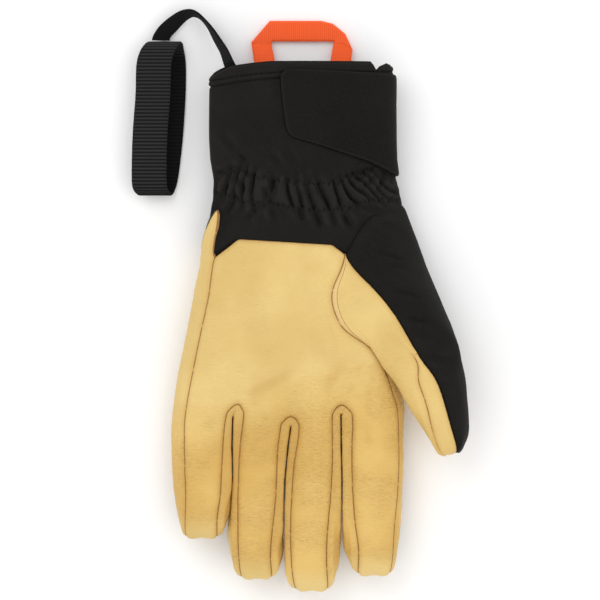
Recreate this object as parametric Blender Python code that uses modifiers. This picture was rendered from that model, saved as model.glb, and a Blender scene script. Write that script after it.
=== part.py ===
"""Left ski glove, leather palm and soft black back, lying on its back with the palm up.

+Y is the cuff, -Y the fingertips, +X the thumb, and z = 0 is what the glove lies on.
The hand is one coarse cage whose smoothed skin passes through the tables' points. That skin is
then cut along the seams into leather and cloth panels, each a closed solid with its own wall.
"""
import math

import bmesh
import bpy
import numpy as np
from mathutils import Vector
from mathutils.geometry import normal

# Driving sizes, metres
PALM_WIDTH = 0.122
PALM_LENGTH = 0.078
PALM_DEPTH = 0.034
FINGER_DEPTH = 0.028
FINGER_CURL = 0.009
LITTLE_LENGTH = 0.0654
RING_LENGTH = 0.0845
MIDDLE_LENGTH = 0.0896
INDEX_LENGTH = 0.0838
LITTLE_WIDTH = 0.0323
RING_WIDTH = 0.0297
MIDDLE_WIDTH = 0.0302
INDEX_WIDTH = 0.0329
FINGER_GAP = 0.0008
THUMB_LENGTH = 0.0628
THUMB_WIDTH = 0.040
THUMB_DEPTH = 0.028
THUMB_RISE = 0.031
THUMB_ANGLE = math.radians(19.2)
LEATHER_WALL = 0.0020
CLOTH_WALL = 0.0022
SEAM_GAP = 0.0003
PRESSED_FLAT = 0.0003
THINNING_ROUNDS = 4
THINNING_LIMIT = 0.5
TUCK_ROOM = 0.0013
WRIST_WIDTH = 0.0965
WRIST_DEPTH = 0.0280
CUFF_WIDTH = 0.0967
CUFF_DEPTH = 0.0380
CUFF_LENGTH = 0.1035
FOLD_DEPTH = 0.0012
HEM_WALL = 0.0004
TAB_WALL = 0.0016
TAB_LENGTH = 0.0605
TAB_HEIGHT = 0.034
LOOP_WIDTH = 0.053
LOOP_REACH = 0.022
WEB_WALL = 0.0014
STRAP_WIDTH = 0.010
STRAP_WALL = 0.0012
BAND_WIDTH = 0.0185
BAND_LENGTH = 0.082
BAND_HEIGHT = 0.0135
BAND_WALL = 0.0018

WRIST_Y = 0.0228
CUFF_X = 0.0005
FOLDS = 14
COLUMNS_PER_FOLD = 3
BACK_COLUMNS = 12
ROUNDNESS = 2.5

# Palm rows, wrist to knuckles: outer edge, little-side seam and thumb seam, as shares of the palm's
# width and length, and the palm's height as a share of its depth
PALM_ROWS = (
    # edge_x, edge_y, seam_x, seam_y, thumb_x, thumb_y, height
    (-0.428, 0.326, -0.369, 0.292, 0.195, 0.313, 0.00),
    (-0.460, 0.054, -0.393, 0.054, 0.139, 0.054, 1.00),
    (-0.489, -0.190, -0.426, -0.190, 0.178, -0.177, 1.00),
    (-0.528, -0.489, -0.465, -0.489, 0.204, -0.448, 0.96),
)
# Palm columns, little finger to index: share across at the wrist and at the knuckles
PALM_COLUMNS = (
    (0.000, 0.000), (0.170, 0.127), (0.250, 0.254), (0.330, 0.312), (0.410, 0.347),
    (0.500, 0.459), (0.580, 0.577), (0.660, 0.631), (0.740, 0.680), (0.810, 0.782),
    (0.860, 0.885), (0.892, 0.940), (1.000, 1.000),
)
# Seam of the thumb piece on the back of the hand, on the palm's rows: x as a share of palm width
BACK_THUMB_SEAM = (0.195, 0.200, 0.205, 0.210)
# Top edge of the palm leather, on the same columns: lift of its straight part over the corners
PALM_TOP_LIFT = (0.0, 0.112, 0.119, 0.112, 0.106, 0.1, 0.094, 0.088, 0.082, 0.078, 0.075, 0.059, 0.0)
# Index side of the palm under the thumb, thumb crotch row then the row below it
INDEX_SIDE_ROWS = (
    # front x, y, height; seam x, y, height; edge x, y, height; seam_back x, y; back x, y
    (0.291, -0.306, 0.98, 0.361, -0.421, 0.82, 0.421, -0.530, 0.50, 0.404, -0.500, 0.326, -0.34),
    (0.313, -0.578, 0.93, 0.408, -0.646, 0.74, 0.452, -0.693, 0.42, 0.420, -0.650, 0.320, -0.57),
)
# Finger roots: x, y and height of each column on the knuckle row
KNUCKLE_ROW = (
    (-0.495, -0.747, 0.00), (-0.405, -0.770, 0.89), (-0.313, -0.761, 0.78),
    (-0.271, -0.707, 0.79), (-0.245, -0.761, 0.80), (-0.160, -0.800, 0.92),
    (-0.080, -0.843, 0.80), (-0.041, -0.792, 0.79), (-0.006, -0.843, 0.80),
    (0.067, -0.815, 0.92), (0.142, -0.775, 0.80), (0.181, -0.713, 0.79),
    (0.224, -0.775, 0.80), (0.325, -0.785, 0.90), (0.426, -0.775, 0.72),
)
LITTLE_SEAM_ROOT = (-0.4953, -0.747, 0.74)
LITTLE_EDGE_ROOT = (-0.5525, -0.765)
INDEX_EDGE_ROOT = (0.4520, -0.790)
# Crotch between two fingers: how far its web reaches past the arch, and its height
WEB_REACH = 0.088
WEB_HEIGHT = 0.42

# Slits between the fingers: distance down and across, as shares of palm length and width
SLITS = (
    ((-0.761, -0.2900), (-0.992, -0.2945), (-1.210, -0.2910), (-1.427, -0.2954), (-1.536, -0.3170),
     (-1.665, -0.3236)),
    ((-0.843, -0.0390), (-0.992, -0.0520), (-1.210, -0.0650), (-1.427, -0.0695), (-1.835, -0.0695)),
    ((-0.768, 0.1770), (-0.992, 0.1790), (-1.210, 0.1820), (-1.563, 0.1815), (-1.700, 0.1850)),
)
# Finger sections, root to tip: share of the finger's length, its left edge, left seam, right seam
# and right edge as shares of its width, and its depth as a share of FINGER_DEPTH
LITTLE_SECTIONS = (
    (0.20, -0.520, -0.303, 0.352, 0.484, 1.00), (0.45, -0.508, -0.295, 0.320, 0.480, 0.97),
    (0.68, -0.467, -0.279, 0.295, 0.484, 0.92), (0.87, -0.385, -0.290, 0.240, 0.426, 0.80),
    (1.00, -0.262, -0.262, 0.230, 0.230, 0.45),
)
RING_SECTIONS = (
    (0.20, -0.498, -0.361, 0.318, 0.491, 1.00), (0.45, -0.468, -0.379, 0.309, 0.461, 0.97),
    (0.68, -0.550, -0.363, 0.263, 0.459, 0.93), (0.88, -0.460, -0.332, 0.239, 0.455, 0.80),
    (1.00, -0.260, -0.260, 0.260, 0.260, 0.45),
)
MIDDLE_SECTIONS = (
    (0.20, -0.479, -0.356, 0.319, 0.460, 1.00), (0.45, -0.503, -0.402, 0.300, 0.493, 0.97),
    (0.68, -0.510, -0.405, 0.253, 0.495, 0.93), (0.88, -0.482, -0.360, 0.254, 0.446, 0.80),
    (1.00, -0.270, -0.270, 0.270, 0.270, 0.45),
)
INDEX_SECTIONS = (
    (0.20, -0.500, -0.339, 0.430, 0.495, 1.00), (0.45, -0.479, -0.323, 0.419, 0.484, 0.97),
    (0.68, -0.487, -0.279, 0.365, 0.468, 0.93), (0.87, -0.439, -0.213, 0.339, 0.403, 0.80),
    (1.00, -0.220, -0.220, 0.280, 0.280, 0.45),
)
# Fingers: length, width, centre line at the root and at the tip as shares of palm width, sections
FINGERS = (
    (LITTLE_LENGTH, LITTLE_WIDTH, -0.4214, -0.4214, LITTLE_SECTIONS),
    (RING_LENGTH, RING_WIDTH, -0.1694, -0.1868, RING_SECTIONS),
    (MIDDLE_LENGTH, MIDDLE_WIDTH, 0.0673, 0.0521, MIDDLE_SECTIONS),
    (INDEX_LENGTH, INDEX_WIDTH, 0.3150, 0.3106, INDEX_SECTIONS),
)
# Heights round a finger's section, as shares of its depth
SEAM_FRONT, SIDE_MIDDLE, SEAM_BACK = 0.84, 0.47, 0.13

# Narrow end of the little-side strip on the wrist: its seam side, its edge side, and its lift
STRIP_POINT_ROWS = (
    # seam_x, seam_y, edge_x, edge_y, lift
    (-0.366, 0.470, -0.414, 0.476, 0.0004), (-0.360, 0.598, -0.381, 0.590, 0.0012),
)

# Thumb: the cloth edge at the wrist, then two rows beside the palm, as shares of palm width and
# length with heights as shares of palm depth
THUMB_WRIST = ((0.295, 0.550, 0.0), (0.448, 0.640, 0.44), (0.350, 0.550, 0.0))
THUMB_SIDE_ROWS = (
    # side seam, cloth edge, cloth middle, outer edge, back middle: x, y, height
    ((0.222, 0.068, 1.08), (0.304, 0.092, 1.17), (0.456, 0.170, 1.10), (0.569, 0.149, 0.64),
     (0.456, 0.140, 0.10)),
    ((0.313, -0.149, 1.20), (0.417, -0.122, 1.29), (0.552, -0.082, 1.20), (0.649, -0.149, 0.78),
     (0.550, -0.149, 0.28)),
)
THUMB_BASE = (0.5126, -0.3058)
THUMB_SKEW = math.radians(14)
# Thumb sections: share of its length, shift across, half width, half depth, height, and the angles
# round the section of the cloth's edge and of the side seam, in degrees from the outer edge
THUMB_SECTIONS = (
    # along, shift, wide, deep, height, cloth, seam
    (0.06, 0.0, 0.488, 0.50, 1.00, 98, 105), (0.26, 0.0, 0.459, 0.50, 1.00, 85, 111),
    (0.45, 0.0, 0.404, 0.50, 1.00, 81, 115), (0.69, 0.0, 0.314, 0.46, 0.98, 82, 131),
    (0.86, -0.018, 0.227, 0.37, 0.95, 78, 150), (0.945, -0.058, 0.132, 0.22, 0.93, 60, 152),
)
CLOTH_ANGLE, BACK_ANGLE = 40, 342
CROTCH_BLEND, CROTCH_TOP_BLEND = 0.45, 0.80

# Sleeve sections, from under the leather to the mouth: share of the cuff's length above the wrist,
# how far the width has opened from wrist to mouth, the bulge of the little-finger side as a share of
# the wrist width, how far the depth has opened, and the shift toward the thumb as a share of the width
SLEEVE_SECTIONS = (
    # along, width_open, side_bulge, depth_open, shift
    (-0.060, 0.0, 0.044, 0.15, 0.026),
    (0.138, 0.0, 0.026, 0.10, 0.026),
    (0.215, 0.0, 0.014, 0.00, 0.026),
    (0.290, 0.0, 0.000, 0.00, 0.026),
    (0.380, 0.1, 0.000, 0.10, 0.024),
    (0.500, 0.9, 0.000, 0.40, 0.004),
    (0.600, 1.0, 0.000, 0.65, 0.000),
    (1.000, 1.0, 0.000, 1.00, 0.000),
)
# Rows of the cuff, mouth to tucked edge: share of the way, how far the hem stands out, how deep the
# gathers are, and how far an elastic row draws the cloth in
CUFF_ROWS = (
    # along, hem, gather, draw
    (0.000, 1.0, 0.0, 0.0), (0.100, 1.0, 0.0, 0.0), (0.112, 0.0, 0.0, 0.0), (0.280, 0.0, 0.0, 0.0),
    (0.440, 0.0, 0.1, 0.0), (0.540, 0.0, 0.5, 0.0), (0.610, 0.0, 0.8, 0.8), (0.655, 0.0, 1.2, 0.0),
    (0.700, 0.0, 1.2, 0.0), (0.740, 0.0, 0.8, 0.8), (0.810, 0.0, 0.5, 0.0), (0.880, 0.0, 0.1, 0.0),
    (0.920, 0.0, 0.0, 0.0), (1.000, 0.0, 0.0, 0.0),
)
FOLD_SHAPE = (1.0, -0.2, -0.8)
FOLD_SLANT = 0.10
# Mouth of the cuff on the palm side: how far across, and how far below the full length
MOUTH_DROP = ((-1.0, 0.085), (-0.9, 0.050), (-0.72, 0.022), (-0.5, 0.010), (-0.25, 0.0), (0.75, 0.0),
              (1.0, 0.035))
BACK_MOUTH_DROP = ((0.0, 0.085), (0.2, 0.030), (0.8, 0.010), (1.0, 0.035))
# Wrist edge of the hand, across the palm and across the back: x and y as shares of palm size
FRONT_EDGE = (
    (-0.500, 0.30), (-0.370, 0.30), (-0.274, 0.41), (0.135, 0.375), (0.195, 0.32), (0.295, 0.55),
    (0.450, 0.64),
)
BACK_EDGE = ((-0.500, 0.36), (0.195, 0.36), (0.350, 0.55), (0.450, 0.64))
TUCK = 0.008
TUCK_START = 0.006
TUCK_EASE = 0.005
TUCK_IN = 0.0015

# Closure tab on the thumb side of the cuff: rows from its top, with its front edge's place
TAB_ROWS = (
    # down, front_edge
    (0.00, 0.035), (0.12, 0.000), (0.35, 0.000), (0.60, 0.025), (0.85, 0.060), (1.00, 0.130),
)
TAB_SLANT = 0.33
TAB_TOP_SLANT = 0.045
TAB_TOP = 0.045
TAB_STANDS_OUT = 0.0003
TAB_WRAP = 1
TAB_FOLD_CLEARANCE = 0.009

# Hanging loop of webbing, outer and inner edge: x as a share of its width, y of its reach
LOOP_PATH = (
    # outer_x, outer_y, inner_x, inner_y
    (-0.47, -0.70, -0.27, -0.70), (-0.47, 0.00, -0.27, 0.00), (-0.50, 0.48, -0.305, 0.44),
    (-0.32, 1.00, -0.295, 0.50), (0.18, 1.00, 0.18, 0.50), (0.29, 0.93, 0.285, 0.50),
    (0.41, 0.69, 0.302, 0.49), (0.48, 0.30, 0.29, 0.36), (0.465, 0.00, 0.265, 0.00),
    (0.465, -0.70, 0.265, -0.70),
)

LOOP_LIFT_END = 0.45

# Strap from the mouth to the wrist band: how far left and out of the cuff, as shares of its span and
# rise, and how far it is turned up on edge, in degrees
STRAP_START = (-0.0366, 0.1240)
STRAP_SPAN = 0.041
STRAP_RISE = 0.029
STRAP_PATH = (
    (-0.120, -0.400, 8), (-0.050, -0.180, 30), (0.000, 0.000, 55), (0.083, 0.294, 66),
    (0.180, 0.530, 72), (0.263, 0.725, 80), (0.353, 0.880, 84), (0.436, 0.972, 80),
    (0.526, 1.000, 70), (0.635, 0.945, 56), (0.750, 0.817, 42), (0.850, 0.680, 30),
    (0.905, 0.570, 22), (0.920, 0.490, 20),
)
STRAP_TURN = 12
# Wrist band, a closed elastic loop: share of its length from the fold at the strap, height, and how
# far its middle lies toward the glove as a share of its width
BAND_PLACE = (-0.0795, 0.1375)
BAND_PATH = (
    (0.00, 0.50, 0.41), (0.04, 0.93, 0.26), (0.15, 1.00, 0.11), (0.35, 1.00, 0.08),
    (0.60, 1.00, 0.00), (0.85, 0.98, -0.03), (0.96, 0.88, 0.00), (1.00, 0.45, 0.13),
    (0.96, 0.08, 0.21), (0.85, 0.00, 0.31), (0.60, 0.00, 0.43), (0.35, 0.00, 0.50),
    (0.15, 0.00, 0.51), (0.04, 0.09, 0.45),
)
CLEAR = 0.0003
RIBBON_STEPS = 3

# Colours and roughness
TAN = ((0.80, 0.60, 0.24, 1.0), 0.55)
TAN_SIDE = ((0.72, 0.50, 0.18, 1.0), 0.55)
BLACK = ((0.015, 0.014, 0.013, 1.0), 0.8)
BLACK_TAB = ((0.012, 0.011, 0.010, 1.0), 0.75)
ORANGE = ((0.90, 0.12, 0.03, 1.0), 0.6)
BLACK_WEB = ((0.016, 0.016, 0.016, 1.0), 0.85)

PANELS = (
    # node, wall, finish
    ("palm_leather", LEATHER_WALL, TAN),
    ("little_side_strip", LEATHER_WALL, TAN_SIDE),
    ("index_side_strip", LEATHER_WALL, TAN_SIDE),
    ("fourchette_little_ring", LEATHER_WALL, TAN_SIDE),
    ("fourchette_ring_middle", LEATHER_WALL, TAN_SIDE),
    ("fourchette_middle_index", LEATHER_WALL, TAN_SIDE),
    ("hand_back", CLOTH_WALL, BLACK),
    ("thumb_leather", LEATHER_WALL, TAN),
    ("thumb_side_strip", LEATHER_WALL, TAN_SIDE),
    ("thumb_back", CLOTH_WALL, BLACK),
)
PANEL_NUMBER = {name: number for number, (name, wall, finish) in enumerate(PANELS)}


def palm_point(x_share, y_share, height):
    """A point placed by shares of the palm's width, length and depth."""
    return Vector((x_share * PALM_WIDTH, y_share * PALM_LENGTH, height * PALM_DEPTH))


def finish_material(name, finish):
    colour, roughness = finish
    material = bpy.data.materials.new(name)
    material.use_nodes = True
    shader = material.node_tree.nodes["Principled BSDF"]
    shader.inputs["Base Color"].default_value = colour
    shader.inputs["Roughness"].default_value = roughness
    shader.inputs["Metallic"].default_value = 0.0
    return material


def solid_object(name, mesh, finish, collection):
    mesh.materials.clear()
    mesh.materials.append(finish_material(name, finish))
    item = bpy.data.objects.new(name, mesh)
    collection.objects.link(item)
    return item


# Sleeve: the closed section of cuff and wrist

def sleeve_section(y):
    """Centre x, half width, centre z and half depth of the sleeve at y."""
    along = (y - WRIST_Y) / CUFF_LENGTH
    places = [row[0] for row in SLEEVE_SECTIONS]
    width_open, side_bulge, depth_open, shift = (
        float(np.interp(along, places, [row[column] for row in SLEEVE_SECTIONS]))
        for column in (1, 2, 3, 4)
    )
    width = WRIST_WIDTH + (CUFF_WIDTH - WRIST_WIDTH) * width_open
    right = CUFF_X + width / 2 + shift * WRIST_WIDTH
    left = right - width - side_bulge * WRIST_WIDTH
    depth = WRIST_DEPTH + (CUFF_DEPTH - WRIST_DEPTH) * depth_open
    return (left + right) / 2, (right - left) / 2, depth / 2, depth / 2


def sleeve_point(angle, y, out):
    """A point of the sleeve at an angle round it, moved out by a distance."""
    centre_x, half_width, centre_z, half_depth = sleeve_section(y)
    power = 2 / ROUNDNESS
    x = math.copysign(abs(math.cos(angle)) ** power, math.cos(angle))
    z = math.copysign(abs(math.sin(angle)) ** power, math.sin(angle))
    return Vector((centre_x + x * (half_width + out), y, centre_z + z * (half_depth + out)))


def sleeve_top(x, y, out):
    """Height of the sleeve's palm side over a point of the plan."""
    centre_x, half_width, centre_z, half_depth = sleeve_section(y)
    across = min(abs(x - centre_x) / (half_width + out), 0.995)
    return centre_z + (half_depth + out) * (1 - across ** ROUNDNESS) ** (1 / ROUNDNESS)


def sleeve_bottom(x, y, out):
    """Height of the sleeve's back side over a point of the plan."""
    centre_x, half_width, centre_z, half_depth = sleeve_section(y)
    across = min(abs(x - centre_x) / (half_width + out), 0.995)
    return centre_z - (half_depth + out) * (1 - across ** ROUNDNESS) ** (1 / ROUNDNESS)


# Hand cage

class Cage:
    """Named points and the faces between them, each face on one panel."""

    def __init__(self):
        self.places = []
        self.numbers = {}
        self.faces = []
        self.panels = []

    def add(self, key, place):
        self.numbers[key] = len(self.places)
        self.places.append(Vector(place))

    def face(self, panel, *keys):
        self.faces.append([self.numbers[key] for key in keys])
        self.panels.append(PANEL_NUMBER[panel])


def slit_x(slit, y):
    rows = sorted(SLITS[slit])
    share = float(np.interp(y / PALM_LENGTH, [row[0] for row in rows], [row[1] for row in rows]))
    return share * PALM_WIDTH


def add_palm(cage):
    wrist_out = LEATHER_WALL + TUCK_ROOM
    for row, (edge_x, edge_y, seam_x, seam_y, thumb_x, thumb_y, height) in enumerate(PALM_ROWS):
        toward_knuckles = row / len(PALM_ROWS)
        for column, (at_wrist, at_knuckles) in enumerate(PALM_COLUMNS):
            across = at_wrist + (at_knuckles - at_wrist) * toward_knuckles
            crown = 1 - 0.16 * max(1 - 2 * across, 0) ** 4
            x_share = seam_x + (thumb_x - seam_x) * across
            y_share = seam_y + (thumb_y - seam_y) * across
            if row == 0:
                y_share += PALM_TOP_LIFT[column]
            place = palm_point(x_share, y_share, height * crown)
            if row == 0:
                place.z = sleeve_top(place.x, place.y, wrist_out)
            elif column == 0:
                place.z = 0.80 * height * PALM_DEPTH
            cage.add(("front", row, column), place)
            back_across = column / 12 + (at_knuckles - column / 12) * toward_knuckles
            back_x = seam_x + (BACK_THUMB_SEAM[row] - seam_x) * back_across
            back_y = y_share if row else 0.36
            back_z = 0.0 if column else SEAM_BACK
            cage.add(("back", row, column), palm_point(back_x, back_y, back_z))
        cage.add(("little_edge", row), palm_point(edge_x, edge_y, 0.44))
    for row, values in enumerate(INDEX_SIDE_ROWS, start=2):
        front, seam, edge = values[0:3], values[3:6], values[6:9]
        cage.add(("front", row, 13), palm_point(*front))
        cage.add(("front", row, 14), palm_point(*seam))
        cage.add(("index_edge", row), palm_point(*edge))
        cage.add(("back", row, 14), palm_point(values[9], values[10], SEAM_BACK))
        cage.add(("back", row, 13), palm_point(values[11], values[12], 0.0))


def add_knuckles(cage):
    row = len(PALM_ROWS)
    for column, (x_share, y_share, height) in enumerate(KNUCKLE_ROW):
        place = palm_point(x_share, y_share, height)
        back_z = 0.0
        if column == 0:
            place = palm_point(LITTLE_SEAM_ROOT[0], y_share, LITTLE_SEAM_ROOT[2])
        if column in (0, 14):
            back_z = SEAM_BACK * PALM_DEPTH
        elif column % 4 != 1:
            back_z = 0.10 * PALM_DEPTH
        cage.add(("front", row, column), place)
        cage.add(("back", row, column), (place.x, place.y, back_z))
    edge_height = SIDE_MIDDLE * FINGER_DEPTH / PALM_DEPTH
    cage.add(("little_edge", row), palm_point(*LITTLE_EDGE_ROOT, edge_height))
    cage.add(("index_edge", row), palm_point(*INDEX_EDGE_ROOT, edge_height))
    for slit in range(3):
        arch_y = KNUCKLE_ROW[4 * slit + 3][1] * PALM_LENGTH
        web_y = arch_y - WEB_REACH * PALM_LENGTH
        centre = slit_x(slit, web_y)
        z = WEB_HEIGHT * PALM_DEPTH
        cage.add(("web", slit), (centre, web_y, z))
        for side, sign in (("left", -1), ("right", 1)):
            cage.add((side, slit), (centre + sign * FINGER_GAP / 2, web_y - FINGER_GAP * 3, z))


def ring_keys(finger, section):
    """The eight points round a finger: left seam, front, right seam, right edge, then the back."""
    if section:
        return [("finger", finger, section, place) for place in range(8)]
    row = len(PALM_ROWS)
    first = 4 * finger
    left = ("little_edge", row) if finger == 0 else ("right", finger - 1)
    right = ("index_edge", row) if finger == 3 else ("left", finger)
    return [
        ("front", row, first), ("front", row, first + 1), ("front", row, first + 2), right,
        ("back", row, first + 2), ("back", row, first + 1), ("back", row, first), left,
    ]


def add_finger(cage, finger):
    length, width, root_x, tip_x, sections = FINGERS[finger]
    root = ring_keys(finger, 0)
    left_root, middle_root, right_root = (cage.places[cage.numbers[key]].y for key in root[:3])
    tip_y = middle_root - length
    for section, (along, left, seam_left, seam_right, right, depth) in enumerate(sections, start=1):
        centre = (root_x + (tip_x - root_x) * along) * PALM_WIDTH
        lift = FINGER_CURL * along ** 2
        tall = FINGER_DEPTH * depth
        ys = [start + (tip_y - start) * along for start in (left_root, middle_root, right_root)]
        left_x = centre + left * width
        right_x = centre + right * width
        if finger > 0:
            left_x = max(left_x, slit_x(finger - 1, ys[0]) + FINGER_GAP / 2)
        if finger < 3:
            right_x = min(right_x, slit_x(finger, ys[2]) - FINGER_GAP / 2)
        seam_l, seam_r = centre + seam_left * width, centre + seam_right * width
        middle = (seam_l + seam_r) / 2
        if along == 1.0:
            for place, x in enumerate((seam_l, middle, seam_r)):
                cage.add(("finger", finger, section, place), (x, tip_y, lift + tall))
            continue
        sunk = (1 - depth) * FINGER_DEPTH / 2
        round_points = (
            (seam_l, ys[0], SEAM_FRONT), (middle, ys[1], 1.0), (seam_r, ys[2], SEAM_FRONT),
            (right_x, ys[2], SIDE_MIDDLE), (seam_r, ys[2], SEAM_BACK), (middle, ys[1], 0.0),
            (seam_l, ys[0], SEAM_BACK), (left_x, ys[0], SIDE_MIDDLE),
        )
        for place, (x, y, share) in enumerate(round_points):
            cage.add(("finger", finger, section, place), (x, y, lift + sunk + share * tall))


def side_panel(finger, side):
    if side == "left":
        return ("little_side_strip", PANELS[3][0], PANELS[4][0], PANELS[5][0])[finger]
    return (PANELS[3][0], PANELS[4][0], PANELS[5][0], "index_side_strip")[finger]


def join_finger(cage, finger):
    sections = len(FINGERS[finger][4])
    for section in range(sections - 1):
        near, far = ring_keys(finger, section), ring_keys(finger, section + 1)
        for place in range(8):
            after = (place + 1) % 8
            panel = "palm_leather" if place < 2 else "hand_back"
            if place in (2, 3):
                panel = side_panel(finger, "right")
            if place in (6, 7):
                panel = side_panel(finger, "left")
            cage.face(panel, near[place], far[place], far[after], near[after])
    last = ring_keys(finger, sections - 1)
    tip = [("finger", finger, sections, place) for place in range(3)]
    cage.face("palm_leather", last[0], tip[0], tip[1], last[1])
    cage.face("palm_leather", last[1], tip[1], tip[2], last[2])
    cage.face("palm_leather", last[6], last[5], tip[1], tip[0])
    cage.face("palm_leather", last[5], last[4], tip[2], tip[1])
    cage.face(side_panel(finger, "left"), last[0], last[7], last[6], tip[0])
    cage.face(side_panel(finger, "right"), last[2], tip[2], last[4], last[3])


def join_palm(cage):
    last_row = len(PALM_ROWS)
    for row in range(last_row):
        columns = 14 if row >= 2 else 12
        for column in range(columns):
            cage.face("palm_leather", ("front", row, column), ("front", row + 1, column),
                      ("front", row + 1, column + 1), ("front", row, column + 1))
            cage.face("hand_back", ("back", row, column), ("back", row, column + 1),
                      ("back", row + 1, column + 1), ("back", row + 1, column))
        cage.face("little_side_strip", ("front", row, 0), ("little_edge", row),
                  ("little_edge", row + 1), ("front", row + 1, 0))
        cage.face("little_side_strip", ("little_edge", row), ("back", row, 0),
                  ("back", row + 1, 0), ("little_edge", row + 1))
        if row >= 2:
            cage.face("index_side_strip", ("front", row, 14), ("front", row + 1, 14),
                      ("index_edge", row + 1), ("index_edge", row))
            cage.face("index_side_strip", ("index_edge", row), ("index_edge", row + 1),
                      ("back", row + 1, 14), ("back", row, 14))
    for slit in range(3):
        panel = PANELS[3 + slit][0]
        first = 4 * slit + 2
        cage.face(panel, ("front", last_row, first), ("left", slit), ("web", slit),
                  ("front", last_row, first + 1))
        cage.face(panel, ("front", last_row, first + 1), ("web", slit), ("right", slit),
                  ("front", last_row, first + 2))
        cage.face(panel, ("back", last_row, first), ("back", last_row, first + 1), ("web", slit),
                  ("left", slit))
        cage.face(panel, ("back", last_row, first + 1), ("back", last_row, first + 2),
                  ("right", slit), ("web", slit))


def add_strip_point(cage):
    """The little-side strip runs on up the wrist to a narrow end."""
    out = LEATHER_WALL + TUCK_ROOM
    for step, (seam_x, seam_y, edge_x, edge_y, lift) in enumerate(STRIP_POINT_ROWS, start=1):
        for key, x_share, y_share in (("strip_seam", seam_x, seam_y), ("strip_edge", edge_x, edge_y)):
            x, y = x_share * PALM_WIDTH, y_share * PALM_LENGTH
            cage.add((key, step), (x, y, sleeve_top(x, y, out) + lift))
    cage.face("little_side_strip", ("strip_seam", 1), ("strip_edge", 1), ("little_edge", 0),
              ("front", 0, 0))
    cage.face("little_side_strip", ("strip_seam", 2), ("strip_edge", 2), ("strip_edge", 1),
              ("strip_seam", 1))


def thumb_ring(section):
    """The twelve points round the thumb, from its outer edge over the front to the back."""
    if section:
        return [("thumb", section, place) for place in range(12)]
    return [
        ("thumb_row", 1, 3), ("thumb_row", 1, 2), ("thumb_row", 1, 1), ("thumb_row", 1, 0),
        ("front", 2, 12), ("front", 2, 13), ("front", 2, 14), ("index_edge", 2),
        ("back", 2, 14), ("back", 2, 13), ("back", 2, 12), ("thumb_row", 1, 4),
    ]


def add_thumb(cage):
    out = LEATHER_WALL + TUCK_ROOM
    for place, (x_share, y_share, height) in enumerate(THUMB_WRIST):
        point = palm_point(x_share, y_share, height)
        if place == 0:
            point.z = sleeve_top(point.x, point.y, out)
        cage.add(("thumb_wrist", place), point)
    for row, points in enumerate(THUMB_SIDE_ROWS):
        for place, (x_share, y_share, height) in enumerate(points):
            cage.add(("thumb_row", row, place), palm_point(x_share, y_share, height))
    crotch = [cage.places[cage.numbers[key]] for key in thumb_ring(0)]
    base = palm_point(*THUMB_BASE, 0)
    along_axis = Vector((math.sin(THUMB_ANGLE), -math.cos(THUMB_ANGLE), 0))
    across_axis = Vector((math.cos(THUMB_SKEW), math.sin(THUMB_SKEW), 0))
    for section, (along, shift, wide, deep, height, cloth, seam) in enumerate(THUMB_SECTIONS, start=1):
        centre = base + along_axis * (along * THUMB_LENGTH) + across_axis * (shift * THUMB_WIDTH)
        centre.z = height * THUMB_RISE
        step = (BACK_ANGLE - seam) / 8
        angles = [0, CLOTH_ANGLE, cloth] + [seam + step * number for number in range(9)]
        for place, angle in enumerate(angles):
            turn = math.radians(angle)
            point = centre + across_axis * (math.cos(turn) * wide * THUMB_WIDTH)
            point.z += math.sin(turn) * deep * THUMB_DEPTH
            cage.add(("thumb", section, place), point)
    for place in range(4, 12):
        near = cage.places[cage.numbers[("thumb", 1, place)]]
        beyond = cage.places[cage.numbers[("thumb", 2, place)]]
        if place == 4:
            near[:] = crotch[place].lerp(near, CROTCH_TOP_BLEND)
        else:
            near[:] = crotch[place].lerp(beyond, CROTCH_BLEND)


def join_thumb(cage):
    wrist = [("front", 0, 12)] + [("thumb_wrist", place) for place in range(3)] + [("back", 0, 12)]
    side, cloth, middle, edge, back = (("thumb_row", 0, place) for place in range(5))
    cage.face("thumb_leather", wrist[0], ("front", 1, 12), side, cloth)
    cage.face("thumb_back", wrist[0], cloth, middle, wrist[1])
    cage.face("thumb_back", wrist[1], middle, edge, wrist[2])
    cage.face("thumb_back", wrist[2], edge, back, wrist[3])
    cage.face("thumb_back", wrist[3], back, ("back", 1, 12), wrist[4])
    upper = [("front", 1, 12), side, cloth, middle, edge, back, ("back", 1, 12)]
    lower = [("front", 2, 12)] + [("thumb_row", 1, place) for place in range(5)] + [("back", 2, 12)]
    for place in range(6):
        panel = "thumb_leather" if place < 2 else "thumb_back"
        cage.face(panel, upper[place], lower[place], lower[place + 1], upper[place + 1])
    for section in range(len(THUMB_SECTIONS)):
        near, far = thumb_ring(section), thumb_ring(section + 1)
        for place in range(12):
            after = (place + 1) % 12
            panel = "thumb_leather" if 3 <= place < 9 else "thumb_back"
            if place == 2:
                panel = "thumb_side_strip" if section else "thumb_leather"
            cage.face(panel, near[place], near[after], far[after], far[place])
    last = thumb_ring(len(THUMB_SECTIONS))
    for place in range(5):
        panel = ("thumb_back", "thumb_back", "thumb_side_strip", "thumb_leather", "thumb_leather")[place]
        cage.face(panel, last[place], last[place + 1], last[10 - place], last[11 - place])


def hand_cage():
    cage = Cage()
    add_palm(cage)
    add_knuckles(cage)
    for finger in range(4):
        add_finger(cage, finger)
    add_strip_point(cage)
    add_thumb(cage)
    join_palm(cage)
    for finger in range(4):
        join_finger(cage, finger)
    join_thumb(cage)
    return cage


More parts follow.
